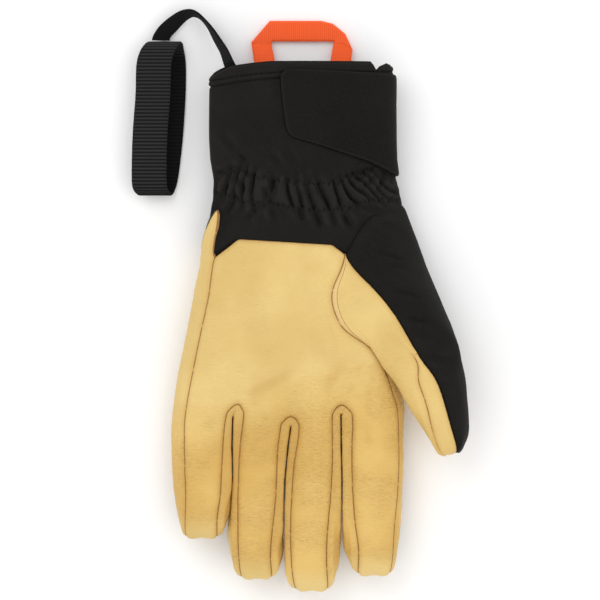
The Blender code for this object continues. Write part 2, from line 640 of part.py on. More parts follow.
def smoothed(places, cage, levels):
    """The cage's smooth skin as a mesh, whose first points are the cage's own."""
    mesh = bpy.data.meshes.new("hand_cage")
    mesh.from_pydata([tuple(place) for place in places], [], cage.faces)
    for polygon, panel in zip(mesh.polygons, cage.panels):
        polygon.material_index = panel
    for name, wall, finish in PANELS:
        mesh.materials.append(None)
    guide = bpy.data.objects.new("hand_cage", mesh)
    bpy.context.scene.collection.objects.link(guide)
    modifier = guide.modifiers.new("smooth", "SUBSURF")
    modifier.levels = levels
    modifier.render_levels = levels
    evaluated = guide.evaluated_get(bpy.context.evaluated_depsgraph_get())
    skin = bpy.data.meshes.new_from_object(evaluated)
    bpy.data.objects.remove(guide)
    return skin


def fitted_skin(cage, levels, rounds=8):
    """Moves the cage's points out until the smooth skin passes through the chosen places."""
    wanted = np.array([tuple(place) for place in cage.places])
    places = wanted.copy()
    for _ in range(rounds):
        skin = smoothed(places, cage, 1)
        reached = np.array([tuple(skin.vertices[number].co) for number in range(len(wanted))])
        places += wanted - reached
    skin = smoothed(places, cage, levels)
    for vertex in skin.vertices:
        if vertex.co.z < PRESSED_FLAT:
            vertex.co.z = 0.0
    return skin


def inward(face, edge):
    """The way from an edge into its face, along the face."""
    first, second = edge.verts
    across = (second.co - first.co).cross(face.normal).normalized()
    if across.dot(face.calc_center_median() - first.co) < 0:
        across.negate()
    return across


def wall_depths(faces, wall):
    """Depth of the wall at each point, thinned where the inner side of a face would turn over."""
    depths = {vertex: wall for face in faces for vertex in face.verts}
    for _ in range(THINNING_ROUNDS):
        for face in faces:
            inner = [vertex.co - vertex.normal * depths[vertex] for vertex in face.verts]
            turned = normal(inner).dot(face.normal) < THINNING_LIMIT
            for vertex in face.verts if turned else ():
                depths[vertex] *= 0.85
    return depths


def panel_solid(skin, number, name, wall):
    """One panel of the skin with its own wall, drawn back from its seams by half the seam gap."""
    faces = [face for face in skin.faces if face.material_index == number]
    chosen = set(faces)
    depths = wall_depths(faces, wall)
    rim = []
    drawn = {}
    for face in faces:
        for edge in face.edges:
            if all(other is face or other not in chosen for other in edge.link_faces):
                rim.append((edge, face))
                for vertex in edge.verts:
                    drawn.setdefault(vertex, []).append(inward(face, edge))
    shell = bmesh.new()
    outer, inner = {}, {}
    for vertex in sorted({vertex for face in faces for vertex in face.verts}, key=lambda item: item.index):
        place = vertex.co.copy()
        if vertex in drawn:
            way = sum(drawn[vertex], Vector()) / len(drawn[vertex])
            place += way * (SEAM_GAP * 0.7 / max(way.length_squared, 0.3))
            place.z = max(place.z, 0.0)
        outer[vertex] = shell.verts.new(place)
        inner[vertex] = shell.verts.new(place - vertex.normal * depths[vertex])
    for face in faces:
        shell.faces.new([outer[vertex] for vertex in face.verts])
        shell.faces.new([inner[vertex] for vertex in reversed(face.verts)])
    for edge, face in rim:
        corners = list(face.verts)
        first, second = edge.verts
        if corners[(corners.index(first) + 1) % len(corners)] is not second:
            first, second = second, first
        shell.faces.new([outer[second], outer[first], inner[first], inner[second]])
    mesh = bpy.data.meshes.new(name)
    shell.to_mesh(mesh)
    shell.free()
    return mesh


def build_hand(collection):
    skin_mesh = fitted_skin(hand_cage(), 1)
    skin = bmesh.new()
    skin.from_mesh(skin_mesh)
    skin.normal_update()
    for number, (name, wall, finish) in enumerate(PANELS):
        solid_object(name, panel_solid(skin, number, name, wall), finish, collection)
    skin.free()


# Cuff and what is sewn to it

def share_at(table, place):
    return float(np.interp(place, [row[0] for row in table], [row[1] for row in table]))


def eased(share):
    share = min(max(share, 0.0), 1.0)
    return share * share * (3 - 2 * share)


def column_angles():
    """Angles round the sleeve at even distances, closer together over the palm side."""
    samples = 720
    y = WRIST_Y + CUFF_LENGTH / 3
    points = [sleeve_point(2 * math.pi * step / samples, y, 0) for step in range(samples + 1)]
    lengths = np.concatenate(([0], np.cumsum([(b - a).length for a, b in zip(points, points[1:])])))
    half = lengths[samples // 2]
    front = FOLDS * COLUMNS_PER_FOLD
    wanted = [half * column / front for column in range(front)]
    wanted += [half + (lengths[-1] - half) * column / BACK_COLUMNS for column in range(BACK_COLUMNS)]
    return [2 * math.pi * float(np.interp(place, lengths, range(samples + 1))) / samples for place in wanted]


def mouth_y(angle):
    if angle <= math.pi:
        drop = share_at(MOUTH_DROP, math.cos(angle))
    else:
        drop = share_at(BACK_MOUTH_DROP, angle / math.pi - 1)
    return WRIST_Y + CUFF_LENGTH * (1 - drop)


def wrist_edge_y(angle):
    table = FRONT_EDGE if angle <= math.pi else BACK_EDGE
    x = sleeve_point(angle, WRIST_Y, 0).x
    return share_at(table, x / PALM_WIDTH) * PALM_LENGTH


def tab_y(x, down):
    """Height up the cuff of the closure tab at x, from its top edge, 0, to its lower edge, 1."""
    right = CUFF_X + CUFF_WIDTH / 2
    across = max(min(x, right) - (right - TAB_LENGTH), 0.0)
    top = WRIST_Y + CUFF_LENGTH * (1 - TAB_TOP)
    return top - TAB_TOP_SLANT * across - down * (TAB_HEIGHT + TAB_SLANT * across)


def cuff_point(angle, column, row, inside):
    along, hem, gather, draw = row
    edge = wrist_edge_y(angle)
    low = edge - TUCK
    y = mouth_y(angle) + (low - mouth_y(angle)) * along
    front = FOLDS * COLUMNS_PER_FOLD
    fade = eased(column / 6) * eased((front - column) / 3) if column < front else 0.0
    x = sleeve_point(angle, y, 0).x
    if x > CUFF_X + CUFF_WIDTH / 2 - TAB_LENGTH:
        fade *= eased((tab_y(x, 1) - y) / TAB_FOLD_CLEARANCE)
    slant = FOLD_SLANT * gather * fade
    out = hem * HEM_WALL - draw * FOLD_DEPTH * 0.5
    if column < front:
        out += gather * fade * FOLD_DEPTH * FOLD_SHAPE[column % COLUMNS_PER_FOLD]
    if inside:
        out = -CLOTH_WALL - draw * FOLD_DEPTH * 0.5
    tucked = eased((edge + TUCK_START - y) / TUCK_EASE)
    point = sleeve_point(angle - slant * (along - 0.67), y, out - TUCK_IN * tucked)
    if angle > math.pi:
        point.z = max(point.z, (CLOTH_WALL + TUCK_ROOM) * tucked + (CLOTH_WALL if inside else 0.0))
    return point


def build_cuff(collection):
    angles = column_angles()
    shell = bmesh.new()
    skins = []
    for inside in (False, True):
        skins.append([
            [shell.verts.new(cuff_point(angle, column, row, inside)) for column, angle in enumerate(angles)]
            for row in CUFF_ROWS
        ])
    outer, inner = skins
    columns = len(angles)
    for row in range(len(CUFF_ROWS) - 1):
        for column in range(columns):
            after = (column + 1) % columns
            shell.faces.new((outer[row][column], outer[row + 1][column], outer[row + 1][after],
                             outer[row][after]))
            shell.faces.new((inner[row][column], inner[row][after], inner[row + 1][after],
                             inner[row + 1][column]))
    for column in range(columns):
        after = (column + 1) % columns
        shell.faces.new((outer[0][column], outer[0][after], inner[0][after], inner[0][column]))
        shell.faces.new((outer[-1][after], outer[-1][column], inner[-1][column], inner[-1][after]))
    bmesh.ops.recalc_face_normals(shell, faces=shell.faces)
    mesh = bpy.data.meshes.new("cuff")
    shell.to_mesh(mesh)
    shell.free()
    solid_object("cuff", mesh, BLACK, collection)


def plate_object(name, rows, wall_way, finish, collection):
    """A plate from a grid of points and the matching grid on its other side."""
    shell = bmesh.new()
    near = [[shell.verts.new(point) for point in row] for row in rows]
    far = [[shell.verts.new(point) for point in row] for row in wall_way]
    last_row, last_column = len(near) - 1, len(near[0]) - 1
    for row in range(last_row):
        for column in range(last_column):
            shell.faces.new((near[row][column], near[row + 1][column], near[row + 1][column + 1],
                             near[row][column + 1]))
            shell.faces.new((far[row][column], far[row][column + 1], far[row + 1][column + 1],
                             far[row + 1][column]))
        for column in (0, last_column):
            shell.faces.new((near[row][column], far[row][column], far[row + 1][column],
                             near[row + 1][column]))
    for column in range(last_column):
        for row in (0, last_row):
            shell.faces.new((near[row][column], near[row][column + 1], far[row][column + 1],
                             far[row][column]))
    bmesh.ops.recalc_face_normals(shell, faces=shell.faces)
    mesh = bpy.data.meshes.new(name)
    shell.to_mesh(mesh)
    shell.free()
    return solid_object(name, mesh, finish, collection)


def build_tab(collection):
    """The closure tab lies over the cuff from its front edge round the thumb side to the back."""
    right = CUFF_X + CUFF_WIDTH / 2
    left = right - TAB_LENGTH
    top = WRIST_Y + CUFF_LENGTH * (1 - TAB_TOP)
    angles = [angle for angle in column_angles() if angle < math.pi]
    angles = [angle for angle in angles if sleeve_point(angle, top, 0).x > left + TAB_LENGTH * 0.16]
    angles.sort(reverse=True)
    angles += sorted(column_angles()[-TAB_WRAP:], reverse=True)
    grids = ([], [])
    for down, front_edge in TAB_ROWS:
        edge_x = left + front_edge * TAB_LENGTH
        for grid, out in zip(grids, (0.0, TAB_WALL)):
            line = []
            for number in range(len(angles) + 1):
                angle = angles[max(number - 1, 0)]
                x = edge_x if number == 0 else sleeve_point(angle, top, 0).x
                y = tab_y(x if angle <= math.pi else right, down)
                stand = HEM_WALL + TAB_STANDS_OUT + out
                if number == 0:
                    point = Vector((edge_x, y, sleeve_top(edge_x, y, stand)))
                else:
                    point = sleeve_point(angle, y, stand)
                line.append(point)
            grid.append(line)
    plate_object("closure_tab", grids[0], grids[1], BLACK_TAB, collection)


def smooth_rows(rows, closed):
    """Rows of a table with rows on a smooth curve between them."""
    rows = np.array(rows, dtype=float)
    count = len(rows)
    result = []
    for number in range(count if closed else count - 1):
        if closed:
            before, start, end, after = (rows[(number + step) % count] for step in (-1, 0, 1, 2))
        else:
            before, start = rows[max(number - 1, 0)], rows[number]
            end, after = rows[number + 1], rows[min(number + 2, count - 1)]
        for step in range(RIBBON_STEPS):
            t = step / RIBBON_STEPS
            result.append(start + 0.5 * t * (end - before + t * (
                2 * before - 5 * start + 4 * end - after + t * (3 * (start - end) + after - before))))
    if not closed:
        result.append(rows[-1])
    return result


def ribbon_object(name, edges, wall, closed, finish, collection):
    """A flat web through pairs of edge points, with its wall on the side away from its normal."""
    count = len(edges)
    shell = bmesh.new()
    rings = []
    for number, (left, right) in enumerate(edges):
        after = edges[(number + 1) % count] if closed or number + 1 < count else edges[number]
        before = edges[number - 1] if closed or number else edges[number]
        way = (after[0] + after[1]) - (before[0] + before[1])
        normal = way.cross(right - left).normalized()
        rings.append([shell.verts.new(point) for point in (
            left, right, right - normal * wall, left - normal * wall)])
    for number in range(count if closed else count - 1):
        near, far = rings[number], rings[(number + 1) % count]
        for side in range(4):
            after = (side + 1) % 4
            shell.faces.new((near[side], far[side], far[after], near[after]))
    if not closed:
        shell.faces.new(rings[0])
        shell.faces.new(rings[-1])
    bmesh.ops.recalc_face_normals(shell, faces=shell.faces)
    mesh = bpy.data.meshes.new(name)
    shell.to_mesh(mesh)
    shell.free()
    return solid_object(name, mesh, finish, collection)


def build_hang_loop(collection):
    mouth = WRIST_Y + CUFF_LENGTH
    edges = []
    for outer_x, outer_y, inner_x, inner_y in LOOP_PATH:
        pair = []
        for x_share, y_share in ((outer_x, outer_y), (inner_x, inner_y)):
            drop = eased((y_share - 0.05) / LOOP_LIFT_END)
            z = WEB_WALL + CLEAR + CLOTH_WALL * (1 - drop)
            pair.append(Vector((CUFF_X + x_share * LOOP_WIDTH, mouth + y_share * LOOP_REACH, z)))
        edges.append(pair)
    ribbon_object("hang_loop", edges, WEB_WALL, False, ORANGE, collection)


def build_strap(collection):
    path = smooth_rows(STRAP_PATH, False)
    points = [Vector((STRAP_START[0] - row[0] * STRAP_SPAN, STRAP_START[1] + row[1] * STRAP_RISE, 0))
              for row in path]
    edges = []
    for number, (row, point) in enumerate(zip(path, points)):
        tilt = math.radians(row[2])
        way = points[min(number + 1, len(points) - 1)] - points[max(number - 1, 0)]
        side = Vector((-way.y, way.x, 0)).normalized()
        turned = eased((number + STRAP_TURN - len(points) + 1) / STRAP_TURN)
        side = side.lerp(Vector((1, 0, 0)), turned).normalized()
        half = (side * math.cos(tilt) + Vector((0, 0, -math.sin(tilt)))) * STRAP_WIDTH / 2
        in_cuff = 1 - eased((row[1] - 0.05) / 0.4)
        floor = sleeve_bottom(point.x - abs(half.x), point.y, -CLOTH_WALL) * in_cuff
        point.z = STRAP_WIDTH / 2 * math.sin(tilt) + STRAP_WALL + CLEAR + floor
        edges.append((point + half, point - half))
    ribbon_object("leash_strap", edges, STRAP_WALL, False, BLACK_WEB, collection)


def build_band(collection):
    edges = []
    for along, height, across in smooth_rows(BAND_PATH, True):
        middle = Vector((BAND_PLACE[0] + across * BAND_WIDTH, BAND_PLACE[1] - along * BAND_LENGTH,
                         CLEAR + height * BAND_HEIGHT))
        half = Vector((BAND_WIDTH / 2, 0, 0))
        edges.append((middle - half, middle + half))
    ribbon_object("wrist_band", edges, BAND_WALL, True, BLACK_WEB, collection)


def main():
    for item in list(bpy.data.objects):
        bpy.data.objects.remove(item)
    collection = bpy.data.collections.new("ski_glove")
    bpy.context.scene.collection.children.link(collection)
    build_hand(collection)
    build_cuff(collection)
    build_tab(collection)
    build_hang_loop(collection)
    build_strap(collection)
    build_band(collection)


main()
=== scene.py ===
"""Left ski glove, palm up: what is seen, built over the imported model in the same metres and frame.

The leather and cloth of the hand are one cage, as in the model, smoothed finer and cut along its seams.
Each panel is then given its seam hollow, puckers, creases and folds, and a material with its grain.
"""

import math

import bpy
import numpy as np
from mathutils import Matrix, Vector, noise
from mathutils.kdtree import KDTree


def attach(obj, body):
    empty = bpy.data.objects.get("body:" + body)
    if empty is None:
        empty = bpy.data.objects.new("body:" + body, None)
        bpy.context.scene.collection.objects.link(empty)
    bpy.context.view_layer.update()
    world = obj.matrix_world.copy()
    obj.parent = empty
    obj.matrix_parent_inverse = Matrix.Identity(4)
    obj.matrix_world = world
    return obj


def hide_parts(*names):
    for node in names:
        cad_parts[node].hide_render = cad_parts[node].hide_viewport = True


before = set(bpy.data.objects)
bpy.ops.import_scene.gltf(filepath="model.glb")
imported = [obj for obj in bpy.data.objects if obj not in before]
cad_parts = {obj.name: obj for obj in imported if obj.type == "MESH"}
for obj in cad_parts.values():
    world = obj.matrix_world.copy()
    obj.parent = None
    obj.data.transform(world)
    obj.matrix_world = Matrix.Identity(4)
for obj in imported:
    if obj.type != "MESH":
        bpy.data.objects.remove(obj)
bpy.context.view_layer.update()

# Driving sizes, metres
PALM_WIDTH = 0.122
PALM_LENGTH = 0.078
PALM_DEPTH = 0.034
FINGER_DEPTH = 0.028
FINGER_CURL = 0.009
LITTLE_LENGTH = 0.0654
RING_LENGTH = 0.0845
MIDDLE_LENGTH = 0.0896
INDEX_LENGTH = 0.0838
LITTLE_WIDTH = 0.0323
RING_WIDTH = 0.0297
MIDDLE_WIDTH = 0.0302
INDEX_WIDTH = 0.0329
FINGER_GAP = 0.0008
THUMB_LENGTH = 0.0628
THUMB_WIDTH = 0.040
THUMB_DEPTH = 0.028
THUMB_RISE = 0.031
THUMB_ANGLE = math.radians(19.2)
LEATHER_WALL = 0.0020
CLOTH_WALL = 0.0022
PRESSED_FLAT = 0.0003
TUCK_ROOM = 0.0013
WRIST_WIDTH = 0.0965
WRIST_DEPTH = 0.0280
CUFF_WIDTH = 0.0967
CUFF_DEPTH = 0.0380
CUFF_LENGTH = 0.1035
HEM_WALL = 0.0004
TAB_WALL = 0.0016
TAB_LENGTH = 0.0605
TAB_HEIGHT = 0.034
LOOP_WIDTH = 0.053
LOOP_REACH = 0.022
WEB_WALL = 0.0014
STRAP_WIDTH = 0.010
STRAP_WALL = 0.0012
BAND_WIDTH = 0.0185
BAND_LENGTH = 0.082
BAND_HEIGHT = 0.0135
BAND_WALL = 0.0018

WRIST_Y = 0.0228
CUFF_X = 0.0005
ROUNDNESS = 2.5

# Palm rows, wrist to knuckles: outer edge, little-side seam and thumb seam, as shares of the palm's
# width and length, and the palm's height as a share of its depth
PALM_ROWS = (
    # edge_x, edge_y, seam_x, seam_y, thumb_x, thumb_y, height
    (-0.428, 0.326, -0.369, 0.292, 0.195, 0.313, 0.00),
    (-0.460, 0.054, -0.393, 0.054, 0.139, 0.054, 1.00),
    (-0.489, -0.190, -0.426, -0.190, 0.178, -0.177, 1.00),
    (-0.528, -0.489, -0.465, -0.489, 0.204, -0.448, 0.96),
)
# Palm columns, little finger to index: share across at the wrist and at the knuckles
PALM_COLUMNS = (
    (0.000, 0.000), (0.170, 0.127), (0.250, 0.254), (0.330, 0.312), (0.410, 0.347),
    (0.500, 0.459), (0.580, 0.577), (0.660, 0.631), (0.740, 0.680), (0.810, 0.782),
    (0.860, 0.885), (0.892, 0.940), (1.000, 1.000),
)
# Seam of the thumb piece on the back of the hand, on the palm's rows: x as a share of palm width
BACK_THUMB_SEAM = (0.195, 0.200, 0.205, 0.210)
# Top edge of the palm leather, on the same columns: lift of its straight part over the corners
PALM_TOP_LIFT = (
    0.0, 0.112, 0.111, 0.1067, 0.101, 0.0944, 0.0885, 0.0824, 0.0766, 0.0715, 0.068, 0.063, 0.0,
)
# Index side of the palm under the thumb, thumb crotch row then the row below it
INDEX_SIDE_ROWS = (
    # front x, y, height; seam x, y, height; edge x, y, height; seam_back x, y; back x, y
    (0.291, -0.306, 0.98, 0.361, -0.421, 0.82, 0.421, -0.530, 0.50, 0.404, -0.500, 0.326, -0.34),
    (0.313, -0.578, 0.93, 0.408, -0.646, 0.74, 0.452, -0.693, 0.42, 0.420, -0.650, 0.320, -0.57),
)
# Finger roots: x, y and height of each column on the knuckle row
KNUCKLE_ROW = (
    (-0.495, -0.747, 0.00), (-0.405, -0.770, 0.89), (-0.313, -0.761, 0.78),
    (-0.271, -0.707, 0.79), (-0.245, -0.761, 0.80), (-0.160, -0.800, 0.92),
    (-0.080, -0.843, 0.80), (-0.041, -0.792, 0.79), (-0.006, -0.843, 0.80),
    (0.067, -0.815, 0.92), (0.142, -0.775, 0.80), (0.181, -0.713, 0.79),
    (0.224, -0.775, 0.80), (0.325, -0.785, 0.90), (0.426, -0.775, 0.72),
)
LITTLE_SEAM_ROOT = (-0.4953, -0.747, 0.74)
LITTLE_EDGE_ROOT = (-0.5525, -0.765)
INDEX_EDGE_ROOT = (0.4520, -0.790)
# Crotch between two fingers: how far its web reaches past the arch, and its height
WEB_REACH = 0.088
WEB_HEIGHT = 0.42

# Slits between the fingers: distance down and across, as shares of palm length and width
SLITS = (
    ((-0.761, -0.2900), (-0.992, -0.2945), (-1.210, -0.2910), (-1.427, -0.2954), (-1.536, -0.3170),
     (-1.665, -0.3236)),
    ((-0.843, -0.0390), (-0.992, -0.0520), (-1.210, -0.0650), (-1.427, -0.0695), (-1.835, -0.0695)),
    ((-0.768, 0.1770), (-0.992, 0.1790), (-1.210, 0.1820), (-1.563, 0.1815), (-1.700, 0.1850)),
)
# Finger sections, root to tip: share of the finger's length, its left edge, left seam, right seam
# and right edge as shares of its width, and its depth as a share of FINGER_DEPTH
LITTLE_SECTIONS = (
    (0.20, -0.520, -0.303, 0.352, 0.484, 1.00), (0.45, -0.508, -0.295, 0.320, 0.480, 0.97),
    (0.68, -0.467, -0.279, 0.295, 0.484, 0.92), (0.87, -0.385, -0.290, 0.240, 0.426, 0.80),
    (1.00, -0.262, -0.262, 0.230, 0.230, 0.45),
)
RING_SECTIONS = (
    (0.20, -0.498, -0.361, 0.318, 0.491, 1.00), (0.45, -0.468, -0.379, 0.309, 0.461, 0.97),
    (0.68, -0.550, -0.363, 0.263, 0.459, 0.93), (0.88, -0.460, -0.332, 0.239, 0.455, 0.80),
    (1.00, -0.260, -0.260, 0.260, 0.260, 0.45),
)
MIDDLE_SECTIONS = (
    (0.20, -0.479, -0.356, 0.319, 0.460, 1.00), (0.45, -0.503, -0.402, 0.300, 0.493, 0.97),
    (0.68, -0.510, -0.405, 0.253, 0.495, 0.93), (0.88, -0.482, -0.360, 0.254, 0.446, 0.80),
    (1.00, -0.270, -0.270, 0.270, 0.270, 0.45),
)
INDEX_SECTIONS = (
    (0.20, -0.500, -0.339, 0.430, 0.495, 1.00), (0.45, -0.479, -0.323, 0.419, 0.484, 0.97),
    (0.68, -0.487, -0.279, 0.365, 0.468, 0.93), (0.87, -0.439, -0.213, 0.339, 0.403, 0.80),
    (1.00, -0.220, -0.220, 0.280, 0.280, 0.45),
)
# Fingers: length, width, centre line at the root and at the tip as shares of palm width, sections
FINGERS = (
    (LITTLE_LENGTH, LITTLE_WIDTH, -0.4214, -0.4214, LITTLE_SECTIONS),
    (RING_LENGTH, RING_WIDTH, -0.1694, -0.1868, RING_SECTIONS),
    (MIDDLE_LENGTH, MIDDLE_WIDTH, 0.0673, 0.0521, MIDDLE_SECTIONS),
    (INDEX_LENGTH, INDEX_WIDTH, 0.3150, 0.3106, INDEX_SECTIONS),
)
# Heights round a finger's section, as shares of its depth
SEAM_FRONT, SIDE_MIDDLE, SEAM_BACK = 0.84, 0.47, 0.13

# Narrow end of the little-side strip on the wrist: its seam side, its edge side, and its lift
STRIP_POINT_ROWS = (
    # seam_x, seam_y, edge_x, edge_y, lift
    (-0.366, 0.470, -0.414, 0.476, 0.0004), (-0.360, 0.598, -0.381, 0.590, 0.0012),
)

# Thumb: the cloth edge at the wrist, then two rows beside the palm, as shares of palm width and
# length with heights as shares of palm depth
THUMB_WRIST = ((0.295, 0.550, 0.0), (0.448, 0.640, 0.44), (0.350, 0.550, 0.0))
THUMB_SIDE_ROWS = (
    # side seam, cloth edge, cloth middle, outer edge, back middle: x, y, height
    ((0.222, 0.068, 1.08), (0.304, 0.092, 1.17), (0.456, 0.170, 1.10), (0.569, 0.149, 0.64),
     (0.456, 0.140, 0.10)),
    ((0.313, -0.149, 1.20), (0.417, -0.122, 1.29), (0.552, -0.082, 1.20), (0.649, -0.149, 0.78),
     (0.550, -0.149, 0.28)),
)
THUMB_BASE = (0.5126, -0.3058)
THUMB_SKEW = math.radians(14)
# Thumb sections: share of its length, shift across, half width, half depth, height, and the angles
# round the section of the cloth's edge and of the side seam, in degrees from the outer edge
THUMB_SECTIONS = (
    # along, shift, wide, deep, height, cloth, seam
    (0.06, 0.0, 0.488, 0.50, 1.00, 98, 105), (0.26, 0.0, 0.459, 0.50, 1.00, 85, 111),
    (0.45, 0.0, 0.404, 0.50, 1.00, 81, 115), (0.69, 0.0, 0.314, 0.46, 0.98, 82, 131),
    (0.86, -0.018, 0.227, 0.37, 0.95, 78, 150), (0.945, -0.058, 0.132, 0.22, 0.93, 60, 152),
)
CLOTH_ANGLE, BACK_ANGLE = 40, 342
CROTCH_BLEND, CROTCH_TOP_BLEND = 0.45, 0.80

# Sleeve sections, from under the leather to the mouth: share of the cuff's length above the wrist,
# how far the width has opened from wrist to mouth, the bulge of the little-finger side as a share of
# the wrist width, how far the depth has opened, and the shift toward the thumb as a share of the width
SLEEVE_SECTIONS = (
    # along, width_open, side_bulge, depth_open, shift
    (-0.060, 0.0, 0.044, 0.15, 0.026),
    (0.138, 0.0, 0.026, 0.10, 0.026),
    (0.215, 0.0, 0.014, 0.00, 0.026),
    (0.290, 0.0, 0.000, 0.00, 0.026),
    (0.380, 0.1, 0.000, 0.10, 0.024),
    (0.500, 0.9, 0.000, 0.40, 0.004),
    (0.600, 1.0, 0.000, 0.65, 0.000),
    (1.000, 1.0, 0.000, 1.00, 0.000),
)
# Mouth of the cuff on the palm side: how far across, and how far below the full length
MOUTH_DROP = ((-1.0, 0.085), (-0.9, 0.050), (-0.72, 0.022), (-0.5, 0.010), (-0.25, 0.0), (0.735, 0.0),
              (0.80, 0.046), (0.86, 0.022), (0.95, 0.012), (1.0, 0.026))
BACK_MOUTH_DROP = (
    (0.0, 0.085), (0.2, 0.030), (0.70, 0.010), (0.76, 0.052), (0.86, 0.052), (0.92, 0.034), (1.0, 0.027),
)
# Wrist edge of the hand, across the palm and across the back: x and y as shares of palm size
FRONT_EDGE = (
    (-0.500, 0.30), (-0.370, 0.30), (-0.274, 0.41), (0.135, 0.375), (0.195, 0.32), (0.295, 0.55),
    (0.450, 0.64),
)
BACK_EDGE = ((-0.500, 0.36), (0.195, 0.36), (0.350, 0.55), (0.450, 0.64))
TUCK = 0.008
TUCK_START = 0.006
TUCK_EASE = 0.005
TUCK_IN = 0.0015

# Closure tab on the thumb side of the cuff
TAB_SLANT = 0.33
TAB_TOP_SLANT = 0.045
TAB_TOP = 0.045
TAB_STANDS_OUT = 0.0003

# Hanging loop of webbing, outer and inner edge: x as a share of its width, y of its reach
LOOP_PATH = (
    # outer_x, outer_y, inner_x, inner_y
    (-0.47, -0.70, -0.27, -0.70), (-0.47, 0.00, -0.27, 0.00), (-0.50, 0.48, -0.305, 0.44),
    (-0.32, 1.00, -0.295, 0.50), (0.18, 1.00, 0.18, 0.50), (0.29, 0.93, 0.285, 0.50),
    (0.41, 0.69, 0.302, 0.49), (0.48, 0.30, 0.29, 0.36), (0.465, 0.00, 0.265, 0.00),
    (0.465, -0.70, 0.265, -0.70),
)

LOOP_LIFT_END = 0.45

# Strap from the mouth to the wrist band: how far left and out of the cuff, as shares of its span and
# rise, and how far it is turned up on edge, in degrees
STRAP_START = (-0.0366, 0.1240)
STRAP_SPAN = 0.041
STRAP_RISE = 0.029
STRAP_PATH = (
    (-0.120, -0.400, 8), (-0.050, -0.180, 30), (0.000, 0.000, 55), (0.083, 0.294, 66),
    (0.180, 0.530, 72), (0.263, 0.725, 80), (0.353, 0.880, 84), (0.436, 0.972, 80),
    (0.526, 1.000, 70), (0.635, 0.945, 56), (0.750, 0.817, 42), (0.850, 0.680, 30),
    (0.905, 0.570, 22), (0.920, 0.490, 20),
)
STRAP_TURN = 12
# Wrist band, a closed elastic loop: share of its length from the fold at the strap, height, and how
# far its middle lies toward the glove as a share of its width
BAND_PLACE = (-0.0795, 0.1375)
BAND_PATH = (
    (0.00, 0.50, 0.41), (0.04, 0.93, 0.26), (0.15, 1.00, 0.11), (0.35, 1.00, 0.08),
    (0.60, 1.00, 0.00), (0.85, 0.98, -0.03), (0.96, 0.88, 0.00), (1.00, 0.45, 0.13),
    (0.96, 0.08, 0.21), (0.85, 0.00, 0.31), (0.60, 0.00, 0.43), (0.35, 0.00, 0.50),
    (0.15, 0.00, 0.51), (0.04, 0.09, 0.45),
)
CLEAR = 0.0003
RIBBON_STEPS = 3

TAB_LEFT = CUFF_X + CUFF_WIDTH / 2 - TAB_LENGTH

# Surface detail, metres
SKIN_LEVELS = 4
SEAM_HOLLOW = 0.00045
SEAM_REACH = 0.0008
SEAM_PUFF, SIDE_PUFF = 0.00030, 0.0010
PUFF_PLACE, PUFF_WIDTH = 0.0035, 0.0024
PUCKER, PUCKER_REACH, PUCKER_TURNS = 0.00020, 0.0045, 300
SEAM_EASE = 0.006
REST_EASE = 0.004
BORDER_PARTS = 3
SLIT_GAP, SLIT_UNEVEN, SLIT_TURNS = 0.00036, 0.00024, (0, 160, 0)
# Sides of a slit are drawn together where they face across, below the seam, near the slit, and end
# this many pixels short of the shorter fingertip
SLIT_FACING, SLIT_BELOW_SEAM = (0.35, 0.75), (0.0015, 0.0045)
SLIT_NEAR, SLIT_END = (0.0020, 0.0034), (-50, -26)
# Welt round the thumb's base: the least width that shows, its ridge, and the dip beside the ridge
WELT_LEAST = 0.0003
WELT_RAISE, WELT_WIDTH = 0.0004, 0.0009
WELT_DIP, WELT_DIP_PLACE, WELT_DIP_WIDTH = 0.0003, 0.0022, 0.0012
# Where the thumb's leathers meet the strip: how far their seam is hidden, and over which pixels
SEAM_HIDDEN, HIDDEN_START, HIDDEN_END = 0.0006, 428, 438
WRIST_RAISE, WRIST_RAISE_START = 0.0026, 0.0170
WRIST_DIP, WRIST_DIP_EASE = 0.0040, 0.0026
RIM_DEPTH = 0.0017
STITCH_PITCH = 0.0026
# Elastic rows: depth in metres, width and swing in pixels, and metres for each zigzag
ROW_DEPTH, ROW_WIDTH, ZIGZAG_SWING, ZIGZAG_PITCH = 0.0010, 1.4, 1.9, 0.0058
# Gathers: pixels for each, and their depths beside the rows, between them and in between folds
GATHER_PITCH = 12.4
GATHER_BESIDE, GATHER_BETWEEN, GATHER_SMALL = 0.00055, 0.00095, 0.00085
# Hem: depth of its stitches and of the step at its edge, and how many pixels the step lies below them
HEM_STITCH, HEM_STEP, HEM_EDGE = 0.0010, 0.0009, 5.4
YARN_PITCH = 0.0009
CUFF_COLUMNS = (300, 100)
HEM_SHARE, HEM_ROWS, BODY_ROWS = 0.16, 60, 150
LINING_ROW_STEP, LINING_COLUMN_STEP = 6, 4
LINING_CLEAR = 0.0004
LIP_STEPS = 6
LIP_REACH = 0.0009
MOUTH_ROUND, MOUTH_ROUND_SHARE = 0.0011, 0.012
DEEPEST = 0.0016
TAB_GRID_ROWS, TAB_GRID_COLUMNS = 90, 150
TAB_SAMPLES = (600, 200)
TAB_ROUND, TAB_EDGE_SHARE = 0.0022, 0.45
TAB_RIPPLE, TAB_RIPPLE_TURNS = 0.00012, 90
TAB_STITCH_PLACE, TAB_LINE_WIDTH = 0.0046, 0.0007
# Painted highlight along the tab's rim, and a darker stitch line
TAB_EDGE_HIGHLIGHT, TAB_STITCH_DARK = 0.0012, 0.0004
SHADOW_DEPTH, SHADOW_REACH, SHADOW_FLOOR = 0.0012, 0.0013, 0.012
STRAP_STEPS, BAND_STEPS = 12, 14
